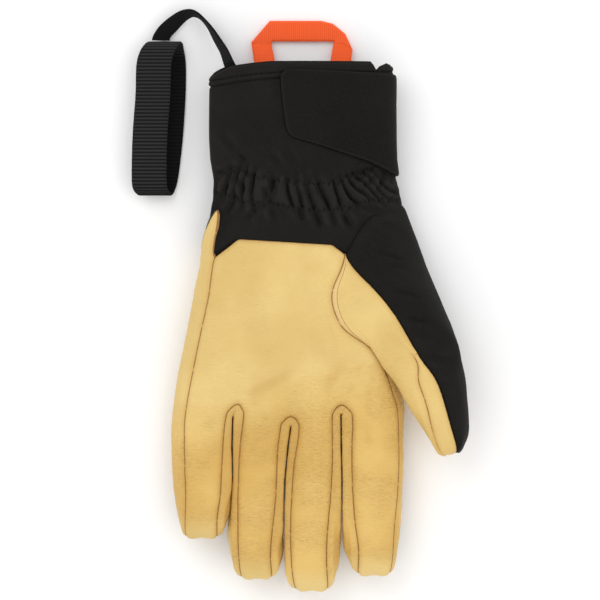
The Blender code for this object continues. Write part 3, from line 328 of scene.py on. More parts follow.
# Edges of a ribbon: how far they round, as a share of its wall, and over what width its ribs start
RIBBON_ROUND, RIB_EASE = 0.6, 0.0006
LEG_RIB_SHIFT = 0.0004
BAND_RIB_PITCH, BAND_RIB_DEPTH = 0.0019, 0.00030
MOUTH_SHIFT = 0.0017
LOOP_STRETCH, LOOP_STRETCH_START, LOOP_RISE = 0.0021, -0.0253, 0.0004

# Columns of the model's cuff over the palm side and over the back; the tab ends at the last of them
MODEL_COLUMNS = (42, 12)
# Unevenness away from the seams: depth in metres, and noise turns for each metre across, along and up
LEATHER_WAVES = ((0.00022, (42, 42, 42)), (0.00016, (90, 210, 90)))
CLOTH_WAVES = ((0.00060, (38, 38, 38)), (0.00020, (120, 120, 120)))
CUFF_WAVE, CUFF_FINE_WAVE = (0.00045, (32, 32, 32)), (0.00025, (110, 70, 110))

# Photograph: metres for each of its pixels, its middle, and folds drawn in its pixels
PHOTO_STEP = 0.00053
PHOTO_MIDDLE = 300
# Metres for each unit of a fold's depth: on leather, on the hand's cloth and on the cuff
LEATHER_FOLD, CLOTH_FOLD, CUFF_FOLD = 0.0010, 0.0018, 0.0013
# A fold fades at both ends over this share of its length, between shoulders of this height and place
FOLD_FADE, SHOULDER_HEIGHT, SHOULDER_PLACE = 0.35, 0.45, 2.1
LEATHER_FOLDS = (
    # start_x, start_y, end_x, end_y, width, depth
    (305, 366, 238, 402, 7, 0.40), (356, 350, 318, 396, 8, 0.35), (368, 350, 346, 402, 5, 0.30),
    (374, 366, 364, 432, 5, 0.30), (291, 413, 287, 392, 5, -0.30), (340, 402, 336, 384, 5, -0.25),
    (262, 405, 268, 428, 5, 0.30), (362, 420, 374, 452, 6, 0.35), (312, 418, 306, 446, 5, 0.20),
    (206, 405, 214, 440, 6, 0.20), (345, 415, 356, 408, 2.5, 0.25), (330, 408, 318, 404, 2.5, 0.25),
    (300, 420, 312, 414, 2.5, 0.22), (281, 421, 270, 416, 2.5, 0.22), (246, 408, 256, 403, 2.5, 0.22),
    (229, 408, 218, 404, 2.5, 0.22), (232, 468, 240, 520, 4, -0.2), (388, 440, 396, 500, 5, 0.2),
)
CLOTH_FOLDS = (
    # start_x, start_y, end_x, end_y, width, depth
    (277, 74, 278, 104, 4.5, 0.45), (219, 130, 238, 155, 3.0, 0.55), (236, 151, 247, 164, 3.4, 0.55),
    (249, 131, 290, 173, 3.4, 0.36), (240, 124, 268, 166, 3.2, 0.34), (279, 141, 298, 173, 3.4, 0.45),
    (266, 150, 287, 178, 2.6, 0.34),
    (384, 163, 332, 181, 2.4, 0.60), (385, 164, 344, 187, 2.4, 0.60), (386, 165, 358, 192, 2.2, 0.55),
    (387, 166, 374, 198, 2.2, 0.50), (224, 168, 243, 168.6, 2.6, 0.60), (241, 168, 256, 179, 2.6, 0.55),
    (211, 174, 228, 170, 2.2, 0.80), (312, 208, 323, 231, 3.2, 0.95), (341, 212, 354, 231, 3.2, 0.85),
    (298, 208, 304, 224, 2.8, 0.80), (256, 206, 246, 222, 2.8, 0.80), (234, 199, 225, 216, 2.8, 0.80),
    (270, 206, 276, 224, 2.8, 0.70), (328, 210, 338, 230, 2.8, 0.70), (364, 204, 380, 214, 2.8, 0.70),
    (230, 182, 222, 196, 2.4, 0.80), (238, 178, 246, 194, 2.4, 0.80), (262, 184, 268, 202, 2.2, 0.80),
    (370, 249, 406, 260, 2.6, 0.30), (382, 262, 414, 269, 2.2, 0.22), (386, 288, 424, 297, 2.8, 0.30),
    (396, 316, 440, 324, 2.8, 0.28), (408, 334, 446, 341, 2.4, 0.24), (418, 356, 456, 362, 2.8, 0.26),
    (434, 384, 462, 389, 2.6, 0.24), (376, 222, 402, 230, 2.6, 0.28),
)
# Elastic rows and hem stitches: x places and the y of each
UPPER_ROW = (
    (211, 228, 242, 256, 282, 312, 343, 374, 390, 400),
    (182, 174, 172, 177, 181.5, 184, 182.5, 167, 164, 163),
)
LOWER_ROW = (
    (205, 222, 234, 251, 274, 297, 320, 343, 366, 400),
    (196, 194, 196, 204, 203.5, 207, 210, 208.5, 201, 199),
)
HEM_ROW = ((208, 214, 236, 257, 281, 400), (82.0, 80.6, 76.6, 74.0, 72.0, 72.0))
# Gathers across the photograph: their slant, and how strong they are
GATHER_SLANTS = ((225, 256, 300, 340, 372), (-0.15, 0.15, 0.30, 0.55, 0.95))
GATHER_STRENGTH = ((212, 228, 250, 345, 372, 395), (0.35, 0.6, 1.0, 1.0, 0.7, 0.45))
# Welt round the thumb's base: y down the photograph, and its width in metres
WELT_PLACES = (250, 262, 276, 295, 313, 330, 341, 349)
WELT_WIDTHS = (0.0, 0.0014, 0.0024, 0.0030, 0.0029, 0.0027, 0.0017, 0.0)
# Upper edge of the painted shade on the fingers, below which the leather is darker: x across the
# photograph and y down it
FINGER_SHADE_EDGE = ((185, 220, 245, 267, 304, 363, 400), (400, 402, 397, 385, 374, 358, 360))
# Black binding beside the point of the little-side strip: its inner edge, y down and x across
BINDING_EDGE = ((205, 211, 220, 229, 234), (219.0, 216.0, 210.5, 206.2, 198.0))
BINDING_END = 234
# Top edge of the palm leather, x across the photograph and y down it
PALM_TOP = ((214.5, 237.5, 240.5, 330.5, 333, 345), (257.5, 239.6, 239.2, 244.7, 245.3, 254.5))
PALM_TOP_EASE, PALM_TOP_END = 16, 270
# Where the narrow thumb strip starts, across and down the photograph
STRIP_START = (413.5, 353.5)
# Fingertips: x across the photograph and the y where each ends
TIP_PLACES = ((232, 233, 284, 285, 341, 342, 400), (536, 577, 577, 589, 589, 573, 573))
# Lower edge of the closure tab: x across the photograph and how far it stands above a straight line
TAB_LOWER = ((282, 294, 320, 343, 366, 380, 397), (1.5, 2.0, 4.0, 5.0, 5.8, 4.0, 0.0))
# Front edge of the closure tab, rounded at its corners: share down, and share of its length
TAB_EDGE = (
    (0.0, 0.130), (0.012, 0.088), (0.04, 0.058), (0.09, 0.036), (0.14, 0.030), (0.30, 0.036),
    (0.55, 0.050), (0.78, 0.066), (0.89, 0.078), (0.95, 0.092), (0.98, 0.110), (1.0, 0.140),
)

# Ribbons: spacing of their stations, and steps across
LOOP_GRID, STRAP_GRID, BAND_GRID = (0.00035, 16), (0.0003, 20), (0.00026, 28)
# Inner face of the wrist band: where it comes to the light, over what length, and how lit it is
BAND_LIGHT_START, BAND_LIGHT_EASE, BAND_DIM, BAND_LIGHT = 0.010, 0.006, 0.15, 0.7

# Leather: turns of noise for each metre, shares of shade, and depth of the grain
LEATHER_CLOUD, CREASE_PATCHES, CREASE_TURNS, GRAIN_CELLS = 24, 38, (330, 1500, 330), 1300
CREASE_SHADE, HOLLOW_SHADE, SEAM_SHADE = 0.22, 0.45, 0.22
SEAM_LINE, WELT_LINE, WELT_BAND = 0.88, 0.8, 0.6
GRAIN_SHARE, GRAIN_DEPTH = 0.10, 0.00080
# Cloth: turns of noise for each metre, shares of tone, of the painted highlight and painted shade on
# folds, and depth of the weave
CLOTH_CLOUD, THREAD_TURNS = 35, (700, 2200, 700)
WEAVE_TURNS, CROSS_TURNS = (1500, 3300, 1500), (3300, 1500, 1500)
CLOUD_LIFT, FOLD_SHARE, THREAD_SHARE, CLOTH_SEAM = 1.25, 0.8, 0.25, 0.9
WEAVE_DEPTH = 0.00016
# Webbing: turns of noise for each metre, and shares of rib, yarn and fuzz in its height, which also sets
# the painted highlight on its ribs
FUZZ_TURNS = 2600
RIB_SHARE, YARN_SHARE, FUZZ_SHARE = 0.7, 0.3, 0.25

# Colours, linear
PALM_DEEP, PALM_PALE = (0.66, 0.462, 0.158, 1), (0.74, 0.540, 0.205, 1)
# The finger colours are the palm leather with painted shade: darker and more orange
SHADED_FINGER_DEEP, SHADED_FINGER_PALE = (0.635, 0.395, 0.106, 1), (0.715, 0.475, 0.146, 1)
LEATHER_SHADE = (0.46, 0.240, 0.050, 1)
SEAM_BROWN = (0.30, 0.135, 0.038, 1)
WELT_PALE = (0.78, 0.56, 0.26, 1)
LEATHER_ROUGHNESS = 0.50
CLOTH_TONE = (0.0090, 0.0085, 0.0074, 1)
# Paler cloth: the painted highlight on raised folds, and the paler threads
CLOTH_HIGHLIGHT_AND_THREAD = (0.0200, 0.0190, 0.0170, 1)
# Near-black: the painted shade in hollow folds, and the dark seam lines
CLOTH_DEEP = (0.0012, 0.0011, 0.0010, 1)
TAB_TONE = (0.0068, 0.0064, 0.0056, 1)
LINING_TONE = (0.0050, 0.0048, 0.0046, 1)
ORANGE_DEEP, ORANGE_LIT = (0.90, 0.092, 0.017, 1), (1.0, 0.140, 0.028, 1)
WEB_DEEP, WEB_LIT = (0.0035, 0.0035, 0.0036, 1), (0.0120, 0.0120, 0.0122, 1)
BAND_LIT = (0.0320, 0.0320, 0.0325, 1)
WEBBINGS = (
    # key, name, deep, lit, pitch, roughness, depth, specular
    ("orange", "orange_webbing", ORANGE_DEEP, ORANGE_LIT, 0.0011, 0.6, 0.00012, 0.2),
    ("strap", "black_webbing", WEB_DEEP, WEB_LIT, 0.0012, 0.8, 0.00018, 0.12),
    ("band", "black_elastic", WEB_DEEP, BAND_LIT, BAND_RIB_PITCH, 0.85, 0.00035, 0.12),
)

# Light and camera
WORLD_STRENGTH = 1.04
LIGHTS = (
    # name, place, aim, size, energy
    ("key", (-0.55, 0.75, 1.50), (0, 0, 0), 1.1, 4.0),
    ("fill", (0.80, -0.35, 1.30), (0, 0, 0), 1.4, 1.6),
)
CAMERA_LENS, SENSOR_WIDTH = 250, 36
FOCUS_HEIGHT = 0.014
CAMERA_RISE = 2 * PHOTO_MIDDLE * PHOTO_STEP * CAMERA_LENS / SENSOR_WIDTH
FLOOR_REACH, FLOOR_DROP = 3.0, 0.0004
FLOOR_TONE = (0.97, 0.97, 0.97, 1)

LEATHER_PANELS = (
    "palm_leather", "little_side_strip", "index_side_strip", "fourchette_little_ring",
    "fourchette_ring_middle", "fourchette_middle_index", "thumb_leather", "thumb_side_strip",
)
SIDE_PANELS = ("fourchette_little_ring", "fourchette_ring_middle", "fourchette_middle_index")
THUMB_LEATHERS = ("thumb_leather", "thumb_side_strip")
PANELS = (
    "palm_leather", "little_side_strip", "index_side_strip", "fourchette_little_ring",
    "fourchette_ring_middle", "fourchette_middle_index", "hand_back", "thumb_leather",
    "thumb_side_strip", "thumb_back",
)
PANEL_NUMBER = {name: number for number, name in enumerate(PANELS)}


def palm_point(x_share, y_share, height):
    """A point placed by shares of the palm's width, length and depth."""
    return Vector((x_share * PALM_WIDTH, y_share * PALM_LENGTH, height * PALM_DEPTH))


def share_at(table, place):
    return float(np.interp(place, [row[0] for row in table], [row[1] for row in table]))


def eased(share):
    share = min(max(share, 0.0), 1.0)
    return share * share * (3 - 2 * share)


# Sleeve: the closed section of cuff and wrist

def sleeve_section(y):
    """Centre x, half width, centre z and half depth of the sleeve at y."""
    along = (y - WRIST_Y) / CUFF_LENGTH
    places = [row[0] for row in SLEEVE_SECTIONS]
    width_open, side_bulge, depth_open, shift = (
        float(np.interp(along, places, [row[column] for row in SLEEVE_SECTIONS]))
        for column in (1, 2, 3, 4)
    )
    width = WRIST_WIDTH + (CUFF_WIDTH - WRIST_WIDTH) * width_open
    right = CUFF_X + width / 2 + shift * WRIST_WIDTH
    left = right - width - side_bulge * WRIST_WIDTH
    depth = WRIST_DEPTH + (CUFF_DEPTH - WRIST_DEPTH) * depth_open
    return (left + right) / 2, (right - left) / 2, depth / 2, depth / 2


def sleeve_point(angle, y, out):
    """A point of the sleeve at an angle round it, moved out by a distance."""
    centre_x, half_width, centre_z, half_depth = sleeve_section(y)
    power = 2 / ROUNDNESS
    x = math.copysign(abs(math.cos(angle)) ** power, math.cos(angle))
    z = math.copysign(abs(math.sin(angle)) ** power, math.sin(angle))
    return Vector((centre_x + x * (half_width + out), y, centre_z + z * (half_depth + out)))


def sleeve_top(x, y, out):
    """Height of the sleeve's palm side over a point of the plan."""
    centre_x, half_width, centre_z, half_depth = sleeve_section(y)
    across = min(abs(x - centre_x) / (half_width + out), 0.995)
    return centre_z + (half_depth + out) * (1 - across ** ROUNDNESS) ** (1 / ROUNDNESS)


def sleeve_bottom(x, y, out):
    """Height of the sleeve's back side over a point of the plan."""
    centre_x, half_width, centre_z, half_depth = sleeve_section(y)
    across = min(abs(x - centre_x) / (half_width + out), 0.995)
    return centre_z - (half_depth + out) * (1 - across ** ROUNDNESS) ** (1 / ROUNDNESS)


# Hand cage

class Cage:
    """Named points and the faces between them, each face on one panel."""

    def __init__(self):
        self.places = []
        self.numbers = {}
        self.faces = []
        self.panels = []

    def add(self, key, place):
        self.numbers[key] = len(self.places)
        self.places.append(Vector(place))

    def face(self, panel, *keys):
        self.faces.append([self.numbers[key] for key in keys])
        self.panels.append(PANEL_NUMBER[panel])


def slit_x(slit, y):
    rows = sorted(SLITS[slit])
    share = float(np.interp(y / PALM_LENGTH, [row[0] for row in rows], [row[1] for row in rows]))
    return share * PALM_WIDTH


def add_palm(cage):
    wrist_out = LEATHER_WALL + TUCK_ROOM
    for row, (edge_x, edge_y, seam_x, seam_y, thumb_x, thumb_y, height) in enumerate(PALM_ROWS):
        toward_knuckles = row / len(PALM_ROWS)
        for column, (at_wrist, at_knuckles) in enumerate(PALM_COLUMNS):
            across = at_wrist + (at_knuckles - at_wrist) * toward_knuckles
            crown = 1 - 0.16 * max(1 - 2 * across, 0) ** 4
            x_share = seam_x + (thumb_x - seam_x) * across
            y_share = seam_y + (thumb_y - seam_y) * across
            if row == 0:
                y_share += PALM_TOP_LIFT[column]
            place = palm_point(x_share, y_share, height * crown)
            if row == 0:
                place.z = sleeve_top(place.x, place.y, wrist_out)
            elif column == 0:
                place.z = 0.80 * height * PALM_DEPTH
            cage.add(("front", row, column), place)
            back_across = column / 12 + (at_knuckles - column / 12) * toward_knuckles
            back_x = seam_x + (BACK_THUMB_SEAM[row] - seam_x) * back_across
            back_y = y_share if row else 0.36
            back_z = 0.0 if column else SEAM_BACK
            cage.add(("back", row, column), palm_point(back_x, back_y, back_z))
        cage.add(("little_edge", row), palm_point(edge_x, edge_y, 0.44))
    for row, values in enumerate(INDEX_SIDE_ROWS, start=2):
        front, seam, edge = values[0:3], values[3:6], values[6:9]
        cage.add(("front", row, 13), palm_point(*front))
        cage.add(("front", row, 14), palm_point(*seam))
        cage.add(("index_edge", row), palm_point(*edge))
        cage.add(("back", row, 14), palm_point(values[9], values[10], SEAM_BACK))
        cage.add(("back", row, 13), palm_point(values[11], values[12], 0.0))


def add_knuckles(cage):
    row = len(PALM_ROWS)
    for column, (x_share, y_share, height) in enumerate(KNUCKLE_ROW):
        place = palm_point(x_share, y_share, height)
        back_z = 0.0
        if column == 0:
            place = palm_point(LITTLE_SEAM_ROOT[0], y_share, LITTLE_SEAM_ROOT[2])
        if column in (0, 14):
            back_z = SEAM_BACK * PALM_DEPTH
        elif column % 4 != 1:
            back_z = 0.10 * PALM_DEPTH
        cage.add(("front", row, column), place)
        cage.add(("back", row, column), (place.x, place.y, back_z))
    edge_height = SIDE_MIDDLE * FINGER_DEPTH / PALM_DEPTH
    cage.add(("little_edge", row), palm_point(*LITTLE_EDGE_ROOT, edge_height))
    cage.add(("index_edge", row), palm_point(*INDEX_EDGE_ROOT, edge_height))
    for slit in range(3):
        arch_y = KNUCKLE_ROW[4 * slit + 3][1] * PALM_LENGTH
        web_y = arch_y - WEB_REACH * PALM_LENGTH
        centre = slit_x(slit, web_y)
        z = WEB_HEIGHT * PALM_DEPTH
        cage.add(("web", slit), (centre, web_y, z))
        for side, sign in (("left", -1), ("right", 1)):
            cage.add((side, slit), (centre + sign * FINGER_GAP / 2, web_y - FINGER_GAP * 3, z))


def ring_keys(finger, section):
    """The eight points round a finger: left seam, front, right seam, right edge, then the back."""
    if section:
        return [("finger", finger, section, place) for place in range(8)]
    row = len(PALM_ROWS)
    first = 4 * finger
    left = ("little_edge", row) if finger == 0 else ("right", finger - 1)
    right = ("index_edge", row) if finger == 3 else ("left", finger)
    return [
        ("front", row, first), ("front", row, first + 1), ("front", row, first + 2), right,
        ("back", row, first + 2), ("back", row, first + 1), ("back", row, first), left,
    ]


def add_finger(cage, finger):
    length, width, root_x, tip_x, sections = FINGERS[finger]
    root = ring_keys(finger, 0)
    left_root, middle_root, right_root = (cage.places[cage.numbers[key]].y for key in root[:3])
    tip_y = middle_root - length
    for section, (along, left, seam_left, seam_right, right, depth) in enumerate(sections, start=1):
        centre = (root_x + (tip_x - root_x) * along) * PALM_WIDTH
        lift = FINGER_CURL * along ** 2
        tall = FINGER_DEPTH * depth
        ys = [start + (tip_y - start) * along for start in (left_root, middle_root, right_root)]
        left_x = centre + left * width
        right_x = centre + right * width
        if finger > 0:
            left_x = max(left_x, slit_x(finger - 1, ys[0]) + FINGER_GAP / 2)
        if finger < 3:
            right_x = min(right_x, slit_x(finger, ys[2]) - FINGER_GAP / 2)
        seam_l, seam_r = centre + seam_left * width, centre + seam_right * width
        middle = (seam_l + seam_r) / 2
        if along == 1.0:
            for place, x in enumerate((seam_l, middle, seam_r)):
                cage.add(("finger", finger, section, place), (x, tip_y, lift + tall))
            continue
        sunk = (1 - depth) * FINGER_DEPTH / 2
        round_points = (
            (seam_l, ys[0], SEAM_FRONT), (middle, ys[1], 1.0), (seam_r, ys[2], SEAM_FRONT),
            (right_x, ys[2], SIDE_MIDDLE), (seam_r, ys[2], SEAM_BACK), (middle, ys[1], 0.0),
            (seam_l, ys[0], SEAM_BACK), (left_x, ys[0], SIDE_MIDDLE),
        )
        for place, (x, y, share) in enumerate(round_points):
            cage.add(("finger", finger, section, place), (x, y, lift + sunk + share * tall))


def side_panel(finger, side):
    if side == "left":
        return ("little_side_strip", PANELS[3], PANELS[4], PANELS[5])[finger]
    return (PANELS[3], PANELS[4], PANELS[5], "index_side_strip")[finger]


def join_finger(cage, finger):
    sections = len(FINGERS[finger][4])
    for section in range(sections - 1):
        near, far = ring_keys(finger, section), ring_keys(finger, section + 1)
        for place in range(8):
            after = (place + 1) % 8
            panel = "palm_leather" if place < 2 else "hand_back"
            if place in (2, 3):
                panel = side_panel(finger, "right")
            if place in (6, 7):
                panel = side_panel(finger, "left")
            cage.face(panel, near[place], far[place], far[after], near[after])
    last = ring_keys(finger, sections - 1)
    tip = [("finger", finger, sections, place) for place in range(3)]
    cage.face("palm_leather", last[0], tip[0], tip[1], last[1])
    cage.face("palm_leather", last[1], tip[1], tip[2], last[2])
    cage.face("palm_leather", last[6], last[5], tip[1], tip[0])
    cage.face("palm_leather", last[5], last[4], tip[2], tip[1])
    cage.face(side_panel(finger, "left"), last[0], last[7], last[6], tip[0])
    cage.face(side_panel(finger, "right"), last[2], tip[2], last[4], last[3])


def join_palm(cage):
    last_row = len(PALM_ROWS)
    for row in range(last_row):
        columns = 14 if row >= 2 else 12
        for column in range(columns):
            cage.face("palm_leather", ("front", row, column), ("front", row + 1, column),
                      ("front", row + 1, column + 1), ("front", row, column + 1))
            cage.face("hand_back", ("back", row, column), ("back", row, column + 1),
                      ("back", row + 1, column + 1), ("back", row + 1, column))
        cage.face("little_side_strip", ("front", row, 0), ("little_edge", row),
                  ("little_edge", row + 1), ("front", row + 1, 0))
        cage.face("little_side_strip", ("little_edge", row), ("back", row, 0),
                  ("back", row + 1, 0), ("little_edge", row + 1))
        if row >= 2:
            cage.face("index_side_strip", ("front", row, 14), ("front", row + 1, 14),
                      ("index_edge", row + 1), ("index_edge", row))
            cage.face("index_side_strip", ("index_edge", row), ("index_edge", row + 1),
                      ("back", row + 1, 14), ("back", row, 14))
    for slit in range(3):
        panel = PANELS[3 + slit]
        first = 4 * slit + 2
        cage.face(panel, ("front", last_row, first), ("left", slit), ("web", slit),
                  ("front", last_row, first + 1))
        cage.face(panel, ("front", last_row, first + 1), ("web", slit), ("right", slit),
                  ("front", last_row, first + 2))
        cage.face(panel, ("back", last_row, first), ("back", last_row, first + 1), ("web", slit),
                  ("left", slit))
        cage.face(panel, ("back", last_row, first + 1), ("back", last_row, first + 2),
                  ("right", slit), ("web", slit))


def add_strip_point(cage):
    """The little-side strip runs on up the wrist to a narrow end."""
    out = LEATHER_WALL + TUCK_ROOM
    for step, (seam_x, seam_y, edge_x, edge_y, lift) in enumerate(STRIP_POINT_ROWS, start=1):
        for key, x_share, y_share in (("strip_seam", seam_x, seam_y), ("strip_edge", edge_x, edge_y)):
            x, y = x_share * PALM_WIDTH, y_share * PALM_LENGTH
            cage.add((key, step), (x, y, sleeve_top(x, y, out) + lift))
    cage.face("little_side_strip", ("strip_seam", 1), ("strip_edge", 1), ("little_edge", 0),
              ("front", 0, 0))
    cage.face("little_side_strip", ("strip_seam", 2), ("strip_edge", 2), ("strip_edge", 1),
              ("strip_seam", 1))


def thumb_ring(section):
    """The twelve points round the thumb, from its outer edge over the front to the back."""
    if section:
        return [("thumb", section, place) for place in range(12)]
    return [
        ("thumb_row", 1, 3), ("thumb_row", 1, 2), ("thumb_row", 1, 1), ("thumb_row", 1, 0),
        ("front", 2, 12), ("front", 2, 13), ("front", 2, 14), ("index_edge", 2),
        ("back", 2, 14), ("back", 2, 13), ("back", 2, 12), ("thumb_row", 1, 4),
    ]


def add_thumb(cage):
    out = LEATHER_WALL + TUCK_ROOM
    for place, (x_share, y_share, height) in enumerate(THUMB_WRIST):
        point = palm_point(x_share, y_share, height)
        if place == 0:
            point.z = sleeve_top(point.x, point.y, out)
        cage.add(("thumb_wrist", place), point)
    for row, points in enumerate(THUMB_SIDE_ROWS):
        for place, (x_share, y_share, height) in enumerate(points):
            cage.add(("thumb_row", row, place), palm_point(x_share, y_share, height))
    crotch = [cage.places[cage.numbers[key]] for key in thumb_ring(0)]
    base = palm_point(*THUMB_BASE, 0)
    along_axis = Vector((math.sin(THUMB_ANGLE), -math.cos(THUMB_ANGLE), 0))
    across_axis = Vector((math.cos(THUMB_SKEW), math.sin(THUMB_SKEW), 0))
    for section, (along, shift, wide, deep, height, cloth, seam) in enumerate(THUMB_SECTIONS, start=1):
        centre = base + along_axis * (along * THUMB_LENGTH) + across_axis * (shift * THUMB_WIDTH)
        centre.z = height * THUMB_RISE
        step = (BACK_ANGLE - seam) / 8
        angles = [0, CLOTH_ANGLE, cloth] + [seam + step * number for number in range(9)]
        for place, angle in enumerate(angles):
            turn = math.radians(angle)
            point = centre + across_axis * (math.cos(turn) * wide * THUMB_WIDTH)
            point.z += math.sin(turn) * deep * THUMB_DEPTH
            cage.add(("thumb", section, place), point)
    for place in range(4, 12):
        near = cage.places[cage.numbers[("thumb", 1, place)]]
        beyond = cage.places[cage.numbers[("thumb", 2, place)]]
        if place == 4:
            near[:] = crotch[place].lerp(near, CROTCH_TOP_BLEND)
        else:
            near[:] = crotch[place].lerp(beyond, CROTCH_BLEND)


def join_thumb(cage):
    wrist = [("front", 0, 12)] + [("thumb_wrist", place) for place in range(3)] + [("back", 0, 12)]
    side, cloth, middle, edge, back = (("thumb_row", 0, place) for place in range(5))
    cage.face("thumb_leather", wrist[0], ("front", 1, 12), side, cloth)
    cage.face("thumb_back", wrist[0], cloth, middle, wrist[1])
    cage.face("thumb_back", wrist[1], middle, edge, wrist[2])
    cage.face("thumb_back", wrist[2], edge, back, wrist[3])
    cage.face("thumb_back", wrist[3], back, ("back", 1, 12), wrist[4])
    upper = [("front", 1, 12), side, cloth, middle, edge, back, ("back", 1, 12)]
    lower = [("front", 2, 12)] + [("thumb_row", 1, place) for place in range(5)] + [("back", 2, 12)]
    for place in range(6):
        panel = "thumb_leather" if place < 2 else "thumb_back"
        cage.face(panel, upper[place], lower[place], lower[place + 1], upper[place + 1])
    for section in range(len(THUMB_SECTIONS)):
        near, far = thumb_ring(section), thumb_ring(section + 1)
        for place in range(12):
            after = (place + 1) % 12
            panel = "thumb_leather" if 3 <= place < 9 else "thumb_back"
            if place == 2:
                panel = "thumb_side_strip" if section else "thumb_leather"
            cage.face(panel, near[place], near[after], far[after], far[place])
    last = thumb_ring(len(THUMB_SECTIONS))
    for place in range(5):
        panel = ("thumb_back", "thumb_back", "thumb_side_strip", "thumb_leather", "thumb_leather")[place]
        cage.face(panel, last[place], last[place + 1], last[10 - place], last[11 - place])


def hand_cage():
    cage = Cage()
    add_palm(cage)
    add_knuckles(cage)
    for finger in range(4):
        add_finger(cage, finger)
    add_strip_point(cage)
    add_thumb(cage)
    join_palm(cage)
    for finger in range(4):
        join_finger(cage, finger)
    join_thumb(cage)
    return cage


def smoothed(places, cage, levels):
    """The cage's smooth skin as a mesh, whose first points are the cage's own."""
    mesh = bpy.data.meshes.new("hand_cage")
    mesh.from_pydata([tuple(place) for place in places], [], cage.faces)
    for polygon, panel in zip(mesh.polygons, cage.panels):
        polygon.material_index = panel
    for _ in PANELS:
        mesh.materials.append(None)
    guide = bpy.data.objects.new("hand_cage", mesh)
    bpy.context.scene.collection.objects.link(guide)
    modifier = guide.modifiers.new("smooth", "SUBSURF")
    modifier.levels = levels
    modifier.render_levels = levels
    evaluated = guide.evaluated_get(bpy.context.evaluated_depsgraph_get())
    skin = bpy.data.meshes.new_from_object(evaluated)
    bpy.data.objects.remove(guide)
    return skin


def fitted_skin(cage, levels, rounds=8):
    """Moves the cage's points out until the smooth skin passes through the chosen places."""
    wanted = np.array([tuple(place) for place in cage.places])
    places = wanted.copy()
    for _ in range(rounds):
        skin = smoothed(places, cage, 1)
        reached = np.array([tuple(skin.vertices[number].co) for number in range(len(wanted))])
        places += wanted - reached
    return smoothed(places, cage, levels)


# Materials

class Shader:
    """A material with short calls for its nodes."""

    def __init__(self, name, roughness, specular):
        self.material = bpy.data.materials.new(name)
        self.material.use_nodes = True
        self.tree = self.material.node_tree
        self.surface = self.tree.nodes["Principled BSDF"]
        self.surface.inputs["Roughness"].default_value = roughness
        self.surface.inputs["Specular IOR Level"].default_value = specular
        self.place = self.node("ShaderNodeTexCoord").outputs["Object"]

    def node(self, kind, **settings):
        node = self.tree.nodes.new(kind)
        for name, value in settings.items():
            setattr(node, name, value)
        return node

    def put(self, socket, value):
        if isinstance(value, bpy.types.NodeSocket):
            self.tree.links.new(value, socket)
        else:
            socket.default_value = value

    def noise(self, scale, detail, stretch=None, distortion=0.0):
        node = self.node("ShaderNodeTexNoise")
        source = self.place
        if stretch:
            mapping = self.node("ShaderNodeMapping")
            mapping.inputs["Scale"].default_value = stretch
            self.put(mapping.inputs["Vector"], source)
            source = mapping.outputs["Vector"]
        self.put(node.inputs["Vector"], source)
        node.inputs["Scale"].default_value = scale
        node.inputs["Detail"].default_value = detail
        node.inputs["Distortion"].default_value = distortion
        return node.outputs["Fac"]

    def cells(self, scale):
        node = self.node("ShaderNodeTexVoronoi")
        self.put(node.inputs["Vector"], self.place)
        node.inputs["Scale"].default_value = scale
        return node.outputs["Distance"]

    def value(self, label):
        return self.node("ShaderNodeAttribute", attribute_name=label).outputs["Fac"]

    def math(self, operation, first, second=0.0):
        node = self.node("ShaderNodeMath", operation=operation)
        self.put(node.inputs[0], first)
        self.put(node.inputs[1], second)
        return node.outputs["Value"]

    def spread(self, value, low, high, to_low=0.0, to_high=1.0, smooth=True):
        node = self.node("ShaderNodeMapRange", interpolation_type="SMOOTHSTEP" if smooth else "LINEAR")
        for socket, number in zip(node.inputs[:5], (value, low, high, to_low, to_high)):
            self.put(socket, number)
        return node.outputs["Result"]

    def mix(self, share, first, second):
        node = self.node("ShaderNodeMix", data_type="RGBA")
        self.put(node.inputs["Factor"], share)
        self.put(node.inputs[6], first)
        self.put(node.inputs[7], second)
        return node.outputs[2]

    def colour(self, value):
        self.put(self.surface.inputs["Base Color"], value)

    def bump(self, height, distance):
        node = self.node("ShaderNodeBump")
        node.inputs["Strength"].default_value = 1.0
        node.inputs["Distance"].default_value = distance
        self.put(node.inputs["Height"], height)
        self.put(self.surface.inputs["Normal"], node.outputs["Normal"])


